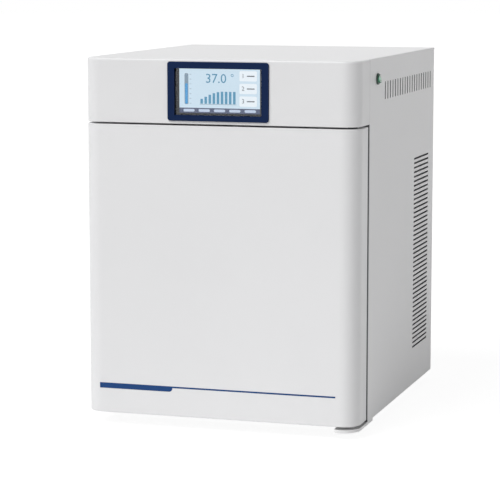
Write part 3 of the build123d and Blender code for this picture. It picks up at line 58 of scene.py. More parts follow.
def shade(red: int, green: int, blue: int) -> Colour:
    """Turn a colour of 0 to 255 per channel, as a screen shows it, into linear light.

    Args:
        red: Red channel.
        green: Green channel.
        blue: Blue channel.

    Returns:
        The three linear values.
    """
    def linear(value: int) -> float:
        """Linear light of one channel."""
        part = value / 255
        return part / 12.92 if part <= LAST_SRGB_STEP else ((part + 0.055) / 1.055) ** 2.4
    return linear(red), linear(green), linear(blue)


class Along(Enum):
    """The way that brushing or drawing marks run on a metal."""

    X = (0.02, 1.0, 1.0)
    Y = (1.0, 0.02, 1.0)
    Z = (1.0, 1.0, 0.02)


class Facing(Enum):
    """The way that a flat mark faces: out of the door side or out of the right side."""

    FRONT = "front"
    RIGHT = "right"


class Sheet:
    """A material's or group's node tree, with short calls to fill it."""

    def __init__(self, tree: bpy.types.NodeTree) -> None:
        """Keep the tree that is filled."""
        self.tree = tree

    def add(self, kind: str, **values: Any) -> bpy.types.Node:
        """Add a node.

        Args:
            kind: The node's type name.
            **values: Its attributes.

        Returns:
            The node.
        """
        node = self.tree.nodes.new(kind)
        for name, value in values.items():
            setattr(node, name, value)
        return node

    def join(self, source: bpy.types.NodeSocket, target: bpy.types.NodeSocket) -> None:
        """Link two sockets."""
        self.tree.links.new(source, target)

    def ramp(self, source: bpy.types.NodeSocket,
             stops: Sequence[tuple[float, float]]) -> bpy.types.NodeSocket:
        """Map a value over a grey ramp.

        Args:
            source: The value.
            stops: Places and grey levels of the ramp, the first and the last.

        Returns:
            The mapped value.
        """
        node = self.add("ShaderNodeMapRange")
        (start, low), (end, high) = stops
        node.inputs["From Min"].default_value = start
        node.inputs["From Max"].default_value = end
        node.inputs["To Min"].default_value = low
        node.inputs["To Max"].default_value = high
        self.join(source, node.inputs["Value"])
        return node.outputs["Result"]

    def noise(self, vector: bpy.types.NodeSocket, scale: float, detail: float) -> bpy.types.NodeSocket:
        """Add a noise texture.

        Args:
            vector: Where it is read.
            scale: Its scale.
            detail: Its octaves.

        Returns:
            The noise value.
        """
        node = self.add("ShaderNodeTexNoise")
        node.inputs["Scale"].default_value = scale
        node.inputs["Detail"].default_value = detail
        self.join(vector, node.inputs["Vector"])
        return node.outputs["Fac"]

    def blend(self, factor: bpy.types.NodeSocket, base: bpy.types.NodeSocket,
              over: Colour) -> bpy.types.NodeSocket:
        """Lay a plain colour over a colour that comes from a node.

        Args:
            factor: Share of the plain colour.
            base: The colour under it.
            over: The plain colour.

        Returns:
            The blended colour.
        """
        node = self.add("ShaderNodeMix", data_type="RGBA")
        node.inputs[7].default_value = (*over, 1)
        self.join(factor, node.inputs[0])
        self.join(base, node.inputs[6])
        return node.outputs[2]

    def mix(self, factor: bpy.types.NodeSocket, low: Colour, high: Colour) -> bpy.types.NodeSocket:
        """Mix two colours.

        Args:
            factor: Share of the second colour.
            low: The first colour.
            high: The second colour.

        Returns:
            The mixed colour.
        """
        node = self.add("ShaderNodeMix", data_type="RGBA")
        node.inputs[6].default_value = (*low, 1)
        node.inputs[7].default_value = (*high, 1)
        self.join(factor, node.inputs[0])
        return node.outputs[2]


class SurfaceGroups:
    """The shader node groups that more than one finish uses."""

    def __init__(self) -> None:
        """Build every group once."""
        self.grain = self._grain()
        self.drift = self._drift()
        self.lines = self._lines()

    @staticmethod
    def _group(name: str, inputs: Iterable[tuple[str, str]],
               outputs: Iterable[tuple[str, str]]) -> tuple:
        """Make an empty group.

        Args:
            name: The group's name.
            inputs: Names and socket types of its inputs.
            outputs: Names and socket types of its outputs.

        Returns:
            The group, its sheet, its input node and its output node.
        """
        tree = bpy.data.node_groups.new(name, "ShaderNodeTree")
        for label, kind in inputs:
            tree.interface.new_socket(label, in_out="INPUT", socket_type=kind)
        for label, kind in outputs:
            tree.interface.new_socket(label, in_out="OUTPUT", socket_type=kind)
        sheet = Sheet(tree)
        return tree, sheet, sheet.add("NodeGroupInput"), sheet.add("NodeGroupOutput")

    def _grain(self) -> bpy.types.NodeTree:
        """Fine pebbled grain: of powder paint when low, of moulded plastic when high.

        Returns:
            The group.
        """
        float_in = "NodeSocketFloat"
        tree, sheet, source, sink = self._group(
            "pebble grain", [("Vector", "NodeSocketVector"), ("Scale", float_in)], [("Height",
                                                                                     float_in)])
        cells = sheet.add("ShaderNodeTexVoronoi", feature="SMOOTH_F1")
        soft = sheet.add("ShaderNodeTexNoise")
        soft.inputs["Detail"].default_value = 3
        for node in (cells, soft):
            sheet.join(source.outputs["Vector"], node.inputs["Vector"])
            sheet.join(source.outputs["Scale"], node.inputs["Scale"])
        total = sheet.add("ShaderNodeMath", operation="MULTIPLY")
        sheet.join(cells.outputs["Distance"], total.inputs[0])
        sheet.join(soft.outputs["Fac"], total.inputs[1])
        sheet.join(total.outputs[0], sink.inputs["Height"])
        return tree

    def _drift(self) -> bpy.types.NodeTree:
        """Slow change of tone over a surface.

        Returns:
            The group.
        """
        float_in = "NodeSocketFloat"
        tree, sheet, source, sink = self._group(
            "tone drift", [("Vector", "NodeSocketVector"), ("Scale", float_in)], [("Amount", float_in)])
        wide = sheet.add("ShaderNodeTexNoise")
        wide.inputs["Detail"].default_value = 2
        sheet.join(source.outputs["Vector"], wide.inputs["Vector"])
        sheet.join(source.outputs["Scale"], wide.inputs["Scale"])
        sheet.join(wide.outputs["Fac"], sink.inputs["Amount"])
        return tree

    def _lines(self) -> bpy.types.NodeTree:
        """Brushing lines: noise read through a vector that is squeezed along them.

        Returns:
            The group.
        """
        float_in = "NodeSocketFloat"
        tree, sheet, source, sink = self._group(
            "brushing lines", [("Vector", "NodeSocketVector"), ("Scale", float_in)],
            [("Height", float_in), ("Streak", float_in)])
        fine = sheet.add("ShaderNodeTexNoise")
        fine.inputs["Detail"].default_value = 4
        broad = sheet.add("ShaderNodeTexNoise")
        broad.inputs["Detail"].default_value = 1
        sheet.join(source.outputs["Vector"], fine.inputs["Vector"])
        sheet.join(source.outputs["Scale"], fine.inputs["Scale"])
        sheet.join(source.outputs["Vector"], broad.inputs["Vector"])
        quarter = sheet.add("ShaderNodeMath", operation="MULTIPLY")
        quarter.inputs[1].default_value = 0.2
        sheet.join(source.outputs["Scale"], quarter.inputs[0])
        sheet.join(quarter.outputs[0], broad.inputs["Scale"])
        sheet.join(fine.outputs["Fac"], sink.inputs["Height"])
        sheet.join(broad.outputs["Fac"], sink.inputs["Streak"])
        return tree


class Surface:
    """A material in the making: a Principled shader, object coordinates and a bump."""

    def __init__(self, name: str) -> None:
        """Start an empty material.

        Args:
            name: The material's name.
        """
        self.material = bpy.data.materials.new(name)
        self.material.use_nodes = True
        self.sheet = Sheet(self.material.node_tree)
        self.shader = self.material.node_tree.nodes["Principled BSDF"]
        self.place = self.sheet.add("ShaderNodeTexCoord").outputs["Object"]

    def stretched(self, scale: Point) -> bpy.types.NodeSocket:
        """Object coordinates stretched by three factors."""
        node = self.sheet.add("ShaderNodeMapping")
        node.inputs["Scale"].default_value = scale
        self.sheet.join(self.place, node.inputs["Vector"])
        return node.outputs["Vector"]

    def group(self, tree: bpy.types.NodeTree, scale: float,
              vector: bpy.types.NodeSocket | None = None) -> bpy.types.Node:
        """Place a shared group.

        Args:
            tree: The group.
            scale: Its scale.
            vector: Where it is read; the plain object coordinates by default.

        Returns:
            The group node.
        """
        node = self.sheet.add("ShaderNodeGroup", node_tree=tree)
        node.inputs["Scale"].default_value = scale
        self.sheet.join(vector or self.place, node.inputs["Vector"])
        return node

    def bump(self, height: bpy.types.NodeSocket, depth: float, strength: float = 1.0) -> None:
        """Bump the surface.

        Args:
            height: The height that varies from 0 to 1.
            depth: How deep 0 to 1 is, in metres.
            strength: Share of the effect.
        """
        node = self.sheet.add("ShaderNodeBump")
        node.inputs["Distance"].default_value = depth
        node.inputs["Strength"].default_value = strength
        self.sheet.join(height, node.inputs["Height"])
        self.sheet.join(node.outputs["Normal"], self.shader.inputs["Normal"])

    def set(self, **values: Any) -> None:
        """Set shader sockets, named with underscores for spaces."""
        for name, value in values.items():
            self.shader.inputs[name.replace("_", " ")].default_value = value

    def feed(self, source: bpy.types.NodeSocket, name: str) -> None:
        """Link a value or colour to one of the shader's sockets."""
        self.sheet.join(source, self.shader.inputs[name])


@dataclass(frozen=True)
class PaintedSheet:
    """Powder-coated sheet steel with a faint orange peel."""

    name: str
    low: Colour
    high: Colour
    roughness: float = 0.42
    peel_scale: float = 420.0
    peel_depth: float = 0.00004

    def build(self, groups: SurfaceGroups) -> bpy.types.Material:
        """Build the material from the shared groups."""
        surface = Surface(self.name)
        drift = surface.group(groups.drift, 3.5)
        surface.feed(surface.sheet.mix(drift.outputs["Amount"], self.low, self.high), "Base Color")
        gloss = surface.sheet.ramp(
            drift.outputs["Amount"], ((0.3, self.roughness - 0.03), (0.7, self.roughness + 0.03)))
        surface.feed(gloss, "Roughness")
        surface.set(Specular_IOR_Level=0.32)
        peel = surface.group(groups.grain, self.peel_scale)
        surface.bump(peel.outputs["Height"], self.peel_depth, 0.5)
        return surface.material


@dataclass(frozen=True)
class VentedPanel:
    """Painted side sheet with painted shade: dark grey on the slots' cut edges and the inner face behind
    the vents, and mid grey on the turned-in front strip at the seal gap.
    """

    name: str
    low: Colour
    high: Colour
    # Painted shade for the slots' cut edges and the inner face behind the vents.
    edge: Colour
    # Painted shade for the turned-in front strip at the seal gap.
    flange: Colour
    face_x: float
    front_y: float
    skin: float = 0.25 * MM
    front_skin: float = 0.2 * MM
    bend: float = 1.6 * MM
    drift_scale: float = 3.5
    peel_scale: float = 420.0
    peel_depth: float = 0.04 * MM
    vent_start: float = 100 * MM
    vent_end: float = 530 * MM

    def build(self, groups: SurfaceGroups) -> bpy.types.Material:
        """Build the material from the shared groups."""
        surface = Surface(self.name)
        sheet = surface.sheet
        parts = sheet.add("ShaderNodeSeparateXYZ")
        sheet.join(surface.place, parts.inputs["Vector"])
        side = sheet.add("ShaderNodeMath", operation="ABSOLUTE")
        sheet.join(parts.outputs["X"], side.inputs[0])
        inside = sheet.ramp(
            side.outputs[0], ((self.face_x - self.skin, 1.0), (self.face_x - self.skin / 3, 0.0)))
        first, last = self.front_y + self.vent_start, self.front_y + self.vent_end
        after = sheet.ramp(parts.outputs["Y"], ((first, 0.0), (first + MM, 1.0)))
        before = sheet.ramp(parts.outputs["Y"], ((last, 1.0), (last + MM, 0.0)))
        band = sheet.add("ShaderNodeMath", operation="MULTIPLY")
        sheet.join(after, band.inputs[0])
        sheet.join(before, band.inputs[1])
        # Mask of painted slot shade: slot walls and inner face within the vent band.
        slot_shade_mask = sheet.add("ShaderNodeMath", operation="MULTIPLY")
        sheet.join(band.outputs[0], slot_shade_mask.inputs[0])
        sheet.join(inside, slot_shade_mask.inputs[1])
        # Mask of painted gap shade: the turned-in front strip of the panel.
        gap_shade_mask = sheet.ramp(
            parts.outputs["Y"],
            ((self.front_y + self.front_skin, 1.0), (self.front_y + self.bend, 0.0)))
        drift = surface.group(groups.drift, self.drift_scale)
        paint = sheet.mix(drift.outputs["Amount"], self.low, self.high)
        # Lay the painted slot shade, then the painted gap shade, over the paint.
        slot_shaded_paint = sheet.blend(slot_shade_mask.outputs[0], paint, self.edge)
        surface.feed(sheet.blend(gap_shade_mask, slot_shaded_paint, self.flange), "Base Color")
        surface.set(Specular_IOR_Level=0.32, Roughness=0.42)
        peel = surface.group(groups.grain, self.peel_scale)
        surface.bump(peel.outputs["Height"], self.peel_depth, 0.5)
        return surface.material


@dataclass(frozen=True)
class MouldedPlastic:
    """Moulded plastic with a fine spark-eroded grain."""

    name: str
    low: Colour
    high: Colour
    roughness: float = 0.45
    grain_scale: float = 900.0
    grain_depth: float = 0.00005
    specular: float = 0.4

    def build(self, groups: SurfaceGroups) -> bpy.types.Material:
        """Build the material from the shared groups."""
        surface = Surface(self.name)
        drift = surface.group(groups.drift, 9.0)
        surface.feed(surface.sheet.mix(drift.outputs["Amount"], self.low, self.high), "Base Color")
        grain = surface.group(groups.grain, self.grain_scale)
        gloss = surface.sheet.ramp(
            grain.outputs["Height"], ((0.0, self.roughness - 0.05), (0.5, self.roughness + 0.05)))
        surface.feed(gloss, "Roughness")
        surface.set(Specular_IOR_Level=self.specular)
        surface.bump(grain.outputs["Height"], self.grain_depth, 0.6)
        return surface.material


@dataclass(frozen=True)
class BrushedMetal:
    """Bare metal with brushing or drawing lines."""

    name: str
    low: Colour
    high: Colour
    along: Along = Along.Z
    roughness: float = 0.32
    line_scale: float = 700.0
    line_depth: float = 0.00002

    def build(self, groups: SurfaceGroups) -> bpy.types.Material:
        """Build the material from the shared groups."""
        surface = Surface(self.name)
        lines = surface.group(groups.lines, self.line_scale, surface.stretched(self.along.value))
        surface.feed(surface.sheet.mix(lines.outputs["Streak"], self.low, self.high), "Base Color")
        gloss = surface.sheet.ramp(
            lines.outputs["Streak"], ((0.3, self.roughness - 0.07), (0.7, self.roughness + 0.07)))
        surface.feed(gloss, "Roughness")
        surface.set(Metallic=1.0)
        surface.bump(lines.outputs["Height"], self.line_depth, 0.6)
        return surface.material


@dataclass(frozen=True)
class SpangledZinc:
    """Galvanised sheet with its pale crystal flowers."""

    name: str
    low: Colour
    high: Colour
    flower_scale: float = 60.0

    def build(self, groups: SurfaceGroups) -> bpy.types.Material:
        """Build the material from the shared groups."""
        surface = Surface(self.name)
        cells = surface.sheet.add("ShaderNodeTexVoronoi")
        cells.inputs["Scale"].default_value = self.flower_scale
        surface.sheet.join(surface.place, cells.inputs["Vector"])
        split = surface.sheet.add("ShaderNodeSeparateColor")
        surface.sheet.join(cells.outputs["Color"], split.inputs["Color"])
        surface.feed(surface.sheet.mix(split.outputs["Red"], self.low, self.high), "Base Color")
        surface.feed(surface.sheet.ramp(split.outputs["Green"], ((0.0, 0.34), (1.0, 0.52))), "Roughness")
        surface.set(Metallic=0.9)
        grain = surface.group(groups.grain, 300.0)
        surface.bump(grain.outputs["Height"], 0.00003, 0.4)
        return surface.material


@dataclass(frozen=True)
class RigidFoam:
    """Rigid foam with fine open cells."""

    name: str
    low: Colour
    high: Colour

    def build(self, groups: SurfaceGroups) -> bpy.types.Material:
        """Build the material from the shared groups."""
        surface = Surface(self.name)
        cells = surface.group(groups.grain, 500.0)
        surface.feed(surface.sheet.mix(cells.outputs["Height"], self.low, self.high), "Base Color")
        surface.set(Roughness=0.9, Specular_IOR_Level=0.15)
        surface.bump(cells.outputs["Height"], 0.0006)
        return surface.material


@dataclass(frozen=True)
class SoftRubber:
    """Matt rubber, a little mottled and dusty."""

    name: str
    low: Colour
    high: Colour
    roughness: float = 0.72

    def build(self, groups: SurfaceGroups) -> bpy.types.Material:
        """Build the material from the shared groups."""
        surface = Surface(self.name)
        mottle = surface.sheet.noise(surface.place, 60.0, 5.0)
        surface.feed(surface.sheet.mix(mottle, self.low, self.high), "Base Color")
        gloss = surface.sheet.ramp(mottle, ((0.3, self.roughness - 0.06), (0.7, self.roughness + 0.08)))
        surface.feed(gloss, "Roughness")
        surface.set(Specular_IOR_Level=0.3)
        grain = surface.group(groups.grain, 1200.0)
        surface.bump(grain.outputs["Height"], 0.00004, 0.5)
        return surface.material


@dataclass(frozen=True)
class ClearGlass:
    """Clear cover glass with the faintest greasy haze."""

    name: str
    tint: Colour
    index: float = 1.45

    def build(self, groups: SurfaceGroups) -> bpy.types.Material:
        """Build the material from the shared groups."""
        surface = Surface(self.name)
        haze = surface.group(groups.drift, 25.0)
        surface.feed(surface.sheet.ramp(haze.outputs["Amount"], ((0.4, 0.01), (0.7, 0.05))), "Roughness")
        surface.set(Base_Color=(*self.tint, 1), Transmission_Weight=1.0, IOR=self.index,
                    Specular_IOR_Level=0.25)
        return surface.material


@dataclass(frozen=True)
class LitLayer:
    """A part of the lit picture on the screen, with the screen's fine dot rows."""

    name: str
    colour: Colour
    strength: float = 1.0
    dot_rows: float = 2600.0
    dimming: float = 0.94

    def build(self, groups: SurfaceGroups) -> bpy.types.Material:
        """Build the material from the shared groups."""
        surface = Surface(self.name)
        waves = surface.sheet.add("ShaderNodeTexWave", bands_direction="Z")
        waves.inputs["Scale"].default_value = self.dot_rows
        surface.sheet.join(surface.place, waves.inputs["Vector"])
        dim = tuple(self.dimming * value for value in self.colour)
        drift = surface.group(groups.drift, 14.0)
        rows = surface.sheet.add("ShaderNodeMath", operation="MULTIPLY")
        surface.sheet.join(waves.outputs["Fac"], rows.inputs[0])
        surface.sheet.join(drift.outputs["Amount"], rows.inputs[1])
        surface.feed(surface.sheet.mix(rows.outputs[0], dim, self.colour), "Emission Color")
        surface.set(Emission_Strength=self.strength, Base_Color=(0.01, 0.01, 0.01, 1), Roughness=0.4)
        return surface.material


@dataclass(frozen=True)
class RockerGreen:
    """Translucent green of the switch key, darker towards its ends and glowing in the middle."""

    name: str
    dark: Colour
    bright: Colour
    centre_z: float
    reach: float

    def build(self, groups: SurfaceGroups) -> bpy.types.Material:
        """Build the material from the shared groups."""
        surface = Surface(self.name)
        parts = surface.sheet.add("ShaderNodeSeparateXYZ")
        surface.sheet.join(surface.place, parts.inputs["Vector"])
        offset = surface.sheet.add("ShaderNodeMath", operation="SUBTRACT")
        offset.inputs[1].default_value = self.centre_z
        surface.sheet.join(parts.outputs["Z"], offset.inputs[0])
        away = surface.sheet.add("ShaderNodeMath", operation="ABSOLUTE")
        surface.sheet.join(offset.outputs[0], away.inputs[0])
        share = surface.sheet.ramp(away.outputs[0], ((0.0, 0.0), (self.reach, 1.0)))
        colour = surface.sheet.mix(share, self.bright, self.dark)
        surface.feed(colour, "Base Color")
        surface.feed(colour, "Emission Color")
        surface.set(Emission_Strength=0.12, Roughness=0.22, Coat_Weight=0.4, Coat_Roughness=0.1)
        grain = surface.group(groups.grain, 1500.0)
        surface.bump(grain.outputs["Height"], 0.00002, 0.4)
        return surface.material


class Paintbox:
    """All finishes of the instrument, and which CAD node has which."""

    def __init__(self) -> None:
        """Build every material once."""
        groups = SurfaceGroups()
        self.groups = groups
        switch_z = self._middle_z("power_switch_body")
        panel_low, panel_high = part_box("side_panel_right")
        finishes = [
            PaintedSheet("shell paint", shade(226, 226, 227), shade(230, 230, 231)),
            # Side panels: painted shade, dark grey in the vent slots and mid grey on the front strip at
            # the seal gap.
            VentedPanel("vented panel paint with painted slot and gap shade", shade(226, 226, 227), shade(230, 230, 231),
                        shade(58, 56, 54), shade(92, 93, 95), panel_high.x, panel_low.y),
            # Front frame: a grey sealing frame whose grey is made darker as painted shade for the seal
            # gap.
            PaintedSheet("seal frame grey and painted gap shade", shade(148, 150, 153), shade(158, 160, 163)),
            PaintedSheet("door paint", shade(227, 227, 228), shade(231, 231, 232)),
            PaintedSheet("bracket paint", shade(228, 228, 228), shade(233, 233, 233), roughness=0.36),
            PaintedSheet("black enamel", shade(26, 26, 28), shade(38, 38, 40), roughness=0.4,
                         peel_depth=0.08 * MM),
            MouldedPlastic("fascia plastic", shade(226, 226, 227), shade(230, 230, 231), roughness=0.42,
                           specular=0.32),
            MouldedPlastic("cap plastic", shade(224, 224, 225), shade(229, 229, 230)),
            MouldedPlastic("liner plastic", shade(205, 206, 208), shade(214, 215, 217), roughness=0.38),
            MouldedPlastic("grip plastic", shade(92, 95, 100), shade(104, 107, 112), grain_scale=700.0),
            MouldedPlastic("navy frame plastic", shade(14, 33, 68), shade(17, 38, 76), roughness=0.36,
                           specular=0.1),
            MouldedPlastic("black plastic", shade(20, 20, 22), shade(31, 31, 33)),
            MouldedPlastic("switch housing plastic", shade(44, 68, 57), shade(52, 80, 67),
                           roughness=0.3),
            MouldedPlastic("grey plastic", shade(158, 160, 163), shade(172, 174, 177)),
            MouldedPlastic("board green", shade(22, 92, 52), shade(34, 116, 66), roughness=0.35),
            MouldedPlastic("stripe film", shade(32, 66, 118), shade(38, 74, 128), roughness=0.34,
                           grain_depth=0.01 * MM, specular=0.12),
            MouldedPlastic("screen case black", shade(6, 6, 8), shade(10, 10, 12), roughness=0.5,
                           specular=0.2),
            BrushedMetal("chamber steel", (0.56, 0.565, 0.57), (0.66, 0.665, 0.67), Along.X),
            BrushedMetal("wire steel", (0.6, 0.6, 0.61), (0.74, 0.74, 0.75), Along.Y, 0.2),
            BrushedMetal("screw steel", (0.55, 0.55, 0.56), (0.7, 0.7, 0.71), Along.Z, 0.25),
            BrushedMetal("copper tube", (0.62, 0.27, 0.15), (0.8, 0.42, 0.27), Along.Z, 0.3),
            BrushedMetal("contact brass", (0.75, 0.55, 0.25), (0.86, 0.68, 0.36), Along.Y, 0.2),
            BrushedMetal("motor metal", (0.45, 0.46, 0.48), (0.6, 0.61, 0.62), Along.Y, 0.42),
            SpangledZinc("zinc sheet", (0.42, 0.43, 0.45), (0.62, 0.63, 0.65)),
            RigidFoam("insulation foam", shade(214, 190, 128), shade(244, 226, 172)),
            SoftRubber("gasket rubber", shade(120, 121, 124), shade(140, 141, 144)),
            SoftRubber("black rubber", shade(20, 20, 20), shade(34, 34, 34)),
            ClearGlass("cover glass", (0.96, 0.98, 1.0)),
            RockerGreen("switch green", shade(18, 74, 50), shade(92, 176, 136), switch_z, 7.5 * MM),
        ]
        self.materials = {finish.name: finish.build(groups) for finish in finishes}

    @staticmethod
    def _middle_z(node: str) -> float:
        """Middle height of a CAD node."""
        low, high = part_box(node)
        return (low.z + high.z) / 2

    def add(self, finish: Any) -> bpy.types.Material:
        """Build one more finish and keep it."""
        self.materials[finish.name] = finish.build(self.groups)
        return self.materials[finish.name]

    def dress(self, name: str, nodes: Iterable[str]) -> None:
        """Give CAD nodes a finish.

        Args:
            name: The finish.
            nodes: The CAD nodes.
        """
        for node in nodes:
            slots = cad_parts[node].data.materials
            slots.clear()
            slots.append(self.materials[name])

    def dress_all(self) -> None:
        """Give every CAD node its finish."""
        levels = ("lower", "middle", "upper")
        plan = {
            "shell paint": ["top_cover", "rear_cover"],
            # Side panels and front frame carry painted shade for the vent slots and the seal gap.
            "vented panel paint with painted slot and gap shade": ["side_panel_left", "side_panel_right"],
            "seal frame grey and painted gap shade": ["front_frame"],
            "door paint": ["door_skin"],
            "bracket paint": ["lower_hinge_bracket"],
            "black enamel": ["condenser_coil", "compressor"],
            "fascia plastic": ["control_fascia"],
            "cap plastic": ["door_cap_bottom", "door_cap_top"],
            "liner plastic": ["breaker_strip", "door_inner_panel"],
            "grip plastic": ["door_grip"],
            "navy frame plastic": ["display_bezel"],
            "black plastic": ["circulation_fan", "condenser_fan", "power_inlet", "door_bushes"],
            "switch housing plastic": ["power_switch_body"],
            "grey plastic": ["drain_tube", "condensate_tray"],
            "board green": ["control_board"],
            "stripe film": ["door_stripe"],
            "screen case black": ["display_module"],
            "chamber steel": ["inner_liner", "shelf_uprights", "air_duct_panel"],
            "wire steel": [f"{piece}_{level}" for piece in ("shelf",
                                                            "shelf_supports") for level in levels],
            "screw steel": ["rear_cover_screws", "foot_screws", "hinge_screws", "hinge_pins",
                            "temperature_sensor", "heater_element"],
            "copper tube": ["evaporator_coil", "refrigerant_pipes", "filter_drier"],
            "contact brass": ["inlet_pins"],
            "motor metal": ["circulation_fan_motor", "condenser_fan_motor", "power_supply"],
            "zinc sheet": ["base_pan", "rear_bulkhead", "electronics_tray", "upper_hinge_bracket",
                           "condenser_shroud"],
            "insulation foam": ["insulation", "door_foam"],
            "gasket rubber": ["door_gasket"],
            "black rubber": ["feet", "compressor_grommets"],
            "cover glass": ["display_glass"],
            "switch green": ["power_rocker"],
        }
        for name, nodes in plan.items():
            self.dress(name, nodes)
        log.info("dressed %d nodes", sum(len(nodes) for nodes in plan.values()))


class Bench:
    """The hand tools: selection, edit mode and finishing of new pieces."""

    figure_share = 0.7
    merge_reach = 0.01 * MM
    ring_steps = 40

    @staticmethod
    def clear() -> None:
        """Deselect everything."""
        bpy.ops.object.select_all(action="DESELECT")

    @classmethod
    def pick(cls, *pieces: bpy.types.Object) -> None:
        """Select only these pieces, with the first one active."""
        cls.clear()
        for piece in pieces:
            piece.select_set(True)
        bpy.context.view_layer.objects.active = pieces[0]

    @classmethod
    def settle(cls, piece: bpy.types.Object) -> None:
        """Move a piece's place, turn and scale into its mesh."""
        cls.pick(piece)
        bpy.ops.object.transform_apply(location=True, rotation=True, scale=True)

    @classmethod
    def join(cls, name: str, pieces: Sequence[bpy.types.Object]) -> bpy.types.Object:
        """Join pieces into one.

        Args:
            name: The joined piece's name.
            pieces: The pieces.

        Returns:
            The joined piece.
        """
        cls.pick(*pieces)
        if len(pieces) > 1:
            bpy.ops.object.join()
        piece = bpy.context.view_layer.objects.active
        piece.name = name
        piece.data.name = name
        cls.settle(piece)
        return piece

    @classmethod
    def plate(cls, centre: Point, width: float, height: float, depth: float, corner: float,
              facing: Facing = Facing.FRONT, segments: int = 4) -> bpy.types.Object:
        """A thin round-cornered plate, made from a plane whose corners are bevelled and extruded.

        Args:
            centre: Middle of its front face.
            width: Its width.
            height: Its height.
            depth: How far it reaches back from its front face.
            corner: Its corner radius.
            facing: Which way its front face looks.
            segments: Steps of each round corner.

        Returns:
            The plate.
        """
        cls.clear()
        turn = (math.pi / 2, 0, 0) if facing is Facing.FRONT else (math.pi / 2, 0, math.pi / 2)
        bpy.ops.mesh.primitive_plane_add(size=1, location=centre, rotation=turn)
        piece = bpy.context.active_object
        piece.scale = (width, height, 1)
        cls.settle(piece)
        bpy.ops.object.mode_set(mode="EDIT")
        bpy.ops.mesh.select_all(action="SELECT")
        if corner > 0:
            bpy.ops.mesh.bevel(offset=corner, segments=segments, affect="VERTICES")
        bpy.ops.mesh.select_all(action="SELECT")
        back = (0, depth, 0) if facing is Facing.FRONT else (-depth, 0, 0)
        bpy.ops.mesh.extrude_region_move(TRANSFORM_OT_translate={"value": back})
        bpy.ops.mesh.select_all(action="SELECT")
        bpy.ops.mesh.normals_make_consistent(inside=False)
        bpy.ops.object.mode_set(mode="OBJECT")
        return piece

    @classmethod
    def numerals(cls, text: str, centre: Point, height: float, depth: float) -> bpy.types.Object:
        """Numerals that face the front.

        Args:
            text: The figures.
            centre: Middle of their front face.
            height: Height of a figure.
            depth: Their thickness.

        Returns:
            The figures as one mesh.
        """
        cls.clear()
        bpy.ops.object.text_add(location=(0, 0, 0), rotation=(0, 0, 0))
        piece = bpy.context.active_object
        piece.data.body = text
        piece.data.align_x = "CENTER"
        piece.data.align_y = "CENTER"
        piece.data.size = height / cls.figure_share
        piece.data.extrude = depth / 2
        piece.data.resolution_u = 3
        bpy.ops.object.convert(target="MESH")
        piece.rotation_euler = (math.pi / 2, 0, 0)
        piece.location = centre
        cls.settle(piece)
        cls._merge(piece)
        return piece

    @classmethod
    def ring(cls, centre: Point, radius: float, width: float, depth: float) -> bpy.types.Object:
        """A flat ring that faces the front, made by insetting a filled circle, removing its middle and
        extruding the band.

        Args:
            centre: Middle of its front face.
            radius: Radius of its middle line.
            width: Width of its band.
            depth: Its thickness.

        Returns:
            The ring.
        """
        cls.clear()
        bpy.ops.mesh.primitive_circle_add(
            vertices=cls.ring_steps, radius=radius + width / 2, fill_type="NGON",
            location=centre, rotation=(math.pi / 2, 0, 0))
        piece = bpy.context.active_object
        cls.settle(piece)
        bpy.ops.object.mode_set(mode="EDIT")
        bpy.ops.mesh.select_all(action="SELECT")
        bpy.ops.mesh.inset(thickness=width)
        bpy.ops.mesh.delete(type="FACE")
        bpy.ops.mesh.select_all(action="SELECT")
        bpy.ops.mesh.extrude_region_move(TRANSFORM_OT_translate={"value": (0, depth, 0)})
        bpy.ops.mesh.select_all(action="SELECT")
        bpy.ops.mesh.normals_make_consistent(inside=False)
        bpy.ops.object.mode_set(mode="OBJECT")
        return piece

    @classmethod
    def _merge(cls, piece: bpy.types.Object) -> None:
        """Merge a mesh's doubled points."""
        bpy.ops.object.mode_set(mode="EDIT")
        bpy.ops.mesh.select_all(action="SELECT")
        bpy.ops.mesh.remove_doubles(threshold=cls.merge_reach)
        bpy.ops.mesh.normals_make_consistent(inside=False)
        bpy.ops.object.mode_set(mode="OBJECT")

    @staticmethod
    def hand_over(piece: bpy.types.Object, material: bpy.types.Material, body: str,
                  slot: str) -> bpy.types.Object:
        """Dress a finished piece and let it ride.

        Args:
            piece: The piece.
            material: Its material.
            body: The body that it rides on.
            slot: The record's slot name; not used.

        Returns:
            The piece.
        """
        piece.data.materials.clear()
        piece.data.materials.append(material)
        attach(piece, body)
        log.info("piece %s on %s, %d faces", piece.name, body, len(piece.data.polygons))
        return piece


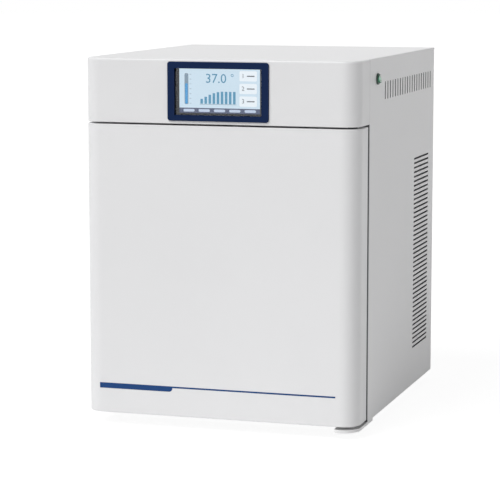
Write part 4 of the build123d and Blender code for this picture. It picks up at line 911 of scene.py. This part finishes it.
@dataclass
class ScreenPicture:
    """The lit picture behind the cover glass: a gauge, a value, columns, three cards and keys."""

    paints: Paintbox
    width: float = 158 * MM
    height: float = 82.6 * MM
    shift_x: float = 2.0 * MM
    shift_z: float = 1.8 * MM
    strip_height: float = 9.5 * MM
    layer: float = 0.05 * MM
    ground_depth: float = 0.3 * MM
    body: str = "cabinet"
    slot: str = "screen"
    card_heights: tuple[float, ...] = (70.0, 46.5, 23.0)

    def __post_init__(self) -> None:
        """Find the place behind the cover glass."""
        low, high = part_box("display_glass")
        self.middle_x = (low.x + high.x) / 2 + self.shift_x
        self.middle_z = (low.z + high.z) / 2 + self.shift_z
        self.back_y = high.y

    def _at(self, x: float, z: float, level: int) -> Point:
        """A point of the picture in millimetres from its lower left corner, on one of its layers."""
        left = self.middle_x - self.width / 2
        bottom = self.middle_z - self.height / 2
        return left + x * MM, self.back_y - self.ground_depth - level * self.layer, bottom + z * MM

    def _bar(self, x: float, z: float, width: float, height: float, corner: float = 0.0,
             level: int = 1) -> bpy.types.Object:
        """A small bar of the picture, placed by its middle, in millimetres."""
        return Bench.plate(self._at(x, z, level), width * MM, height * MM, self.layer, corner * MM,
                           segments=3)

    def _figures(self, text: str, x: float, z: float, height: float,
                 level: int = 1) -> bpy.types.Object:
        """Figures of the picture, placed by their middle, in millimetres."""
        return Bench.numerals(text, self._at(x, z, level), height * MM, self.layer)

    def _layer(self, name: str, colour: Colour, pieces: Sequence[bpy.types.Object]) -> None:
        """Join the marks of one colour and dress them."""
        material = self.paints.add(LitLayer(name.replace("_", " "), colour))
        Bench.hand_over(Bench.join(name, pieces), material, self.body, self.slot)

    def build(self) -> None:
        """Build the picture, layer by layer."""
        width, height, strip = (size / MM for size in (self.width, self.height, self.strip_height))
        page = self._bar(width / 2, (height + strip) / 2, width, height - strip, level=0)
        self._layer("screen_page", shade(204, 224, 237), [page])
        foot = self._bar(width / 2, strip / 2, width, strip, level=0)
        self._layer("screen_strip", shade(56, 70, 104), [foot])
        keys = [self._bar(x, strip / 2, 22, 5, 2.2) for x in (19, 49, 79, 109, 139)]
        self._layer("screen_keys", shade(190, 204, 224), keys)
        self._layer("screen_value", shade(30, 130, 166), self._value())
        self._layer("screen_gauge", shade(38, 146, 206), [self._bar(14, 36, 5, 38, 1.5, 2)])
        self._layer("screen_columns", shade(60, 140, 176), self._columns())
        self._layer("screen_lines", shade(120, 142, 160), self._lines())
        cards = [self._bar(135, z, 34, 19, 2.5) for z in self.card_heights]
        self._layer("screen_cards", shade(236, 243, 248), cards)
        self._layer("screen_card_marks", shade(66, 74, 84), self._card_marks())

    def _value(self) -> list[bpy.types.Object]:
        """The large value and its degree ring."""
        ring = Bench.ring(self._at(104, 71, 1), 2.2 * MM, 1.0 * MM, self.layer)
        return [self._figures("37.0", 72, 64, 17), ring]

    def _columns(self) -> list[bpy.types.Object]:
        """Nine columns that rise to a steady level."""
        heights = (9, 13, 17, 20, 22, 23, 23, 23, 23)
        foot, first, pitch, wide = 17.5, 44, 8, 5
        return [self._bar(first + pitch * index, foot + tall / 2, wide, tall)
                for index, tall in enumerate(heights)]

    def _lines(self) -> list[bpy.types.Object]:
        """The columns' base line, the gauge's track and its ticks."""
        ticks = [self._bar(22, 18 + 9 * index, 3.5, 0.8) for index in range(7)]
        return [self._bar(76, 16.5, 72, 0.8), self._bar(14, 45, 7.5, 58, 2.2), *ticks]

    def _card_marks(self) -> list[bpy.types.Object]:
        """A plain number and a bar on each card."""
        marks = []
        for number, z in enumerate(self.card_heights, start=1):
            marks += [self._figures(str(number), 125, z, 8, 2), self._bar(140, z, 15, 2, 0.6, 2)]
        return marks


@dataclass
class CoverGlass:
    """The cover glass, its edges ground, and the black print behind its border."""

    paints: Paintbox
    picture: ScreenPicture
    thickness: float = 1.2 * MM
    bevel: float = 0.35 * MM
    print_depth: float = 0.1 * MM
    corner: float = 2 * MM

    def build(self) -> None:
        """Build the glass and its print."""
        low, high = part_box("display_glass")
        centre = ((low.x + high.x) / 2, low.y, (low.z + high.z) / 2)
        width, height = high.x - low.x, high.z - low.z
        glass = Bench.plate(centre, width, height, self.thickness, self.corner)
        edge = glass.modifiers.new("ground edge", "BEVEL")
        edge.width = self.bevel
        edge.segments = 2
        edge.limit_method = "ANGLE"
        Bench.pick(glass)
        bpy.ops.object.modifier_apply(modifier=edge.name)
        glass.name = glass.data.name = "cover_glass"
        Bench.settle(glass)
        Bench.hand_over(glass, self.paints.materials["cover glass"], "cabinet", "cover_glass")
        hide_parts("display_glass")
        self._print(low, high)

    def _print(self, low: Vector, high: Vector) -> None:
        """Build the black border print from four strips round the picture.

        Args:
            low: The glass node's lowest corner.
            high: Its highest corner.
        """
        picture = self.picture
        bars = []
        front_y = low.y + self.thickness + self.print_depth
        left = picture.middle_x - picture.width / 2
        right = picture.middle_x + picture.width / 2
        bottom = picture.middle_z - picture.height / 2
        top = picture.middle_z + picture.height / 2
        spans = [(low.x, left, low.z, high.z), (right, high.x, low.z, high.z),
                 (left, right, low.z, bottom), (left, right, top, high.z)]
        for x0, x1, z0, z1 in spans:
            middle = ((x0 + x1) / 2, front_y, (z0 + z1) / 2)
            bars.append(Bench.plate(middle, x1 - x0, z1 - z0, self.print_depth, 0))
        border = Bench.join("glass_border_print", bars)
        Bench.hand_over(border, self.paints.materials["screen case black"], "cabinet", "screen")


@dataclass
class RockerMarks:
    """The raised bar and ring on the two halves of the switch key."""

    paints: Paintbox
    offset: float = 3.2 * MM
    dish: float = 1.6 * MM
    key_radius: float = 8.1 * MM
    key_height: float = 7.0 * MM
    pivot_height: float = 1.6 * MM
    tilt: float = math.radians(8)
    relief: float = 0.12 * MM
    depth: float = 0.5 * MM
    bar_width: float = 1.0 * MM
    bar_height: float = 3.2 * MM
    bar_corner: float = 0.4 * MM
    loop_radius: float = 1.5 * MM
    loop_band: float = 0.8 * MM

    def build(self) -> None:
        """Build both marks on the level key, tilt them with it, and join them."""
        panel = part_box("side_panel_right")[1].x
        low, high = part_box("power_switch_body")
        centre_y, centre_z = (low.y + high.y) / 2, (low.z + high.z) / 2
        dish_radius = (self.key_radius ** 2 + self.dish ** 2) / (2 * self.dish)
        sink = dish_radius - math.sqrt(dish_radius ** 2 - self.offset ** 2)
        face_x = panel + self.key_height - self.dish + sink + self.relief
        bar = Bench.plate((face_x, centre_y, centre_z + self.offset), self.bar_width, self.bar_height,
                          self.depth, self.bar_corner, Facing.RIGHT)
        loop = Bench.ring((0, 0, 0), self.loop_radius, self.loop_band, self.depth)
        loop.data.transform(Matrix.Rotation(math.pi / 2, 4, "Z"))
        loop.data.transform(Matrix.Translation((face_x, centre_y, centre_z - self.offset)))
        slope = math.asin(self.offset / dish_radius)
        for mark, side in ((bar, 1), (loop, -1)):
            middle = Vector((face_x, centre_y, centre_z + side * self.offset))
            self._turn(mark, middle, side * slope)
        marks = Bench.join("rocker_marks", [bar, loop])
        pivot = Vector((panel + self.pivot_height, centre_y, centre_z))
        self._turn(marks, pivot, -self.tilt)
        Bench.hand_over(marks, self.paints.materials["black plastic"], "power_rocker", "switch_green")

    @staticmethod
    def _turn(piece: bpy.types.Object, about: Vector, angle: float) -> None:
        """Turn a piece's mesh round the depth axis.

        Args:
            piece: The piece.
            about: A point on the axis.
            angle: The angle, in radians.
        """
        turn = Matrix.Translation(about) @ Matrix.Rotation(angle, 4, "Y") @ Matrix.Translation(-about)
        piece.data.transform(turn)


@dataclass
class Studio:
    """A pale floor, one wide lamp, a white surround and the camera at the photograph's place."""

    lens_pixels: float = 2118.75
    centre_pixels: tuple[float, float] = (255.0, 248.45)
    yaw: float = 0.29995
    pitch: float = 0.13641
    position: Point = (1.23204, -4.07003, 0.89526)
    sensor: float = 36.0
    sight: float = 100.0
    surround_level: float = 0.31
    key_reach: Point = (0.76, 1.18, -1.76)
    key_spread: float = math.radians(32)
    floor_reach: float = 30.0
    floor_glow: float = 1.12
    glow_share: float = 0.82

    def build(self) -> None:
        """Build floor, world, lamp and camera."""
        self._floor()
        self._world()
        self._key_lamp()
        self._camera()
        bpy.context.scene.view_settings.view_transform = "Standard"

    def _floor(self) -> None:
        """A wide white floor that shows as white and keeps the soft shadow."""
        Bench.clear()
        bpy.ops.mesh.primitive_circle_add(
            vertices=96, radius=self.floor_reach, fill_type="NGON", location=(0, 0, 0))
        floor = bpy.context.active_object
        floor.name = "studio_floor"
        surface = Surface("studio floor")
        surface.set(Base_Color=(0.92, 0.92, 0.92, 1), Roughness=0.9, Specular_IOR_Level=0.1)
        glow = surface.sheet.add("ShaderNodeEmission")
        glow.inputs["Color"].default_value = (1, 1, 1, 1)
        glow.inputs["Strength"].default_value = self.floor_glow
        mixer = surface.sheet.add("ShaderNodeMixShader")
        share = surface.sheet.add("ShaderNodeMath", operation="MULTIPLY")
        share.inputs[1].default_value = self.glow_share
        surface.sheet.join(self._seen(surface.sheet), share.inputs[0])
        surface.sheet.join(share.outputs[0], mixer.inputs[0])
        surface.sheet.join(surface.shader.outputs[0], mixer.inputs[1])
        surface.sheet.join(glow.outputs[0], mixer.inputs[2])
        out = surface.material.node_tree.nodes["Material Output"]
        surface.sheet.join(mixer.outputs[0], out.inputs["Surface"])
        floor.data.materials.append(surface.material)

    def _world(self) -> None:
        """A white surround that is seen at full strength and lights at a plain level."""
        world = bpy.data.worlds.new("white surround")
        bpy.context.scene.world = world
        world.use_nodes = True
        sheet = Sheet(world.node_tree)
        ground = world.node_tree.nodes["Background"]
        ground.inputs["Color"].default_value = (1, 1, 1, 1)
        level = sheet.ramp(self._seen(sheet), ((0.0, self.surround_level), (1.0, 1.0)))
        sheet.join(level, ground.inputs["Strength"])

    @staticmethod
    def _seen(sheet: Sheet) -> bpy.types.NodeSocket:
        """One where the camera, a reflection or a view through glass looks, else zero."""
        path = sheet.add("ShaderNodeLightPath")
        seen = path.outputs["Is Camera Ray"]
        for name in ("Is Glossy Ray", "Is Transmission Ray"):
            either = sheet.add("ShaderNodeMath", operation="MAXIMUM")
            sheet.join(seen, either.inputs[0])
            sheet.join(path.outputs[name], either.inputs[1])
            seen = either.outputs[0]
        return seen

    def _key_lamp(self) -> None:
        """A wide, even light from the front, the left and above."""
        reach = Vector(self.key_reach)
        data = bpy.data.lights.new("key lamp", "SUN")
        data.energy = reach.length
        data.angle = self.key_spread
        lamp = bpy.data.objects.new("key lamp", data)
        lamp.rotation_euler = reach.to_track_quat("-Z", "Y").to_euler()
        bpy.context.scene.collection.objects.link(lamp)

    def _camera(self) -> None:
        """The camera that was fitted to the photograph."""
        data = bpy.data.cameras.new("photo camera")
        data.sensor_width = self.sensor
        data.sensor_fit = "HORIZONTAL"
        data.lens = self.sensor * self.lens_pixels / PHOTO_PIXELS
        data.shift_x = (PHOTO_PIXELS / 2 - self.centre_pixels[0]) / PHOTO_PIXELS
        data.shift_y = (self.centre_pixels[1] - PHOTO_PIXELS / 2) / PHOTO_PIXELS
        data.clip_end = self.sight
        camera = bpy.data.objects.new("photo camera", data)
        camera.location = self.position
        camera.rotation_euler = (math.pi / 2 - self.pitch, 0, self.yaw)
        bpy.context.scene.collection.objects.link(camera)
        bpy.context.scene.camera = camera


def main() -> None:
    """Build the studio, the finishes and the fine pieces in order."""
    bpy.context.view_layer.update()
    Studio().build()
    paints = Paintbox()
    paints.dress_all()
    picture = ScreenPicture(paints)
    picture.build()
    CoverGlass(paints, picture).build()
    RockerMarks(paints).build()
    Bench.clear()
    bpy.context.view_layer.update()


if __name__ == "__main__":
    logging.basicConfig(level=logging.INFO)
    main()
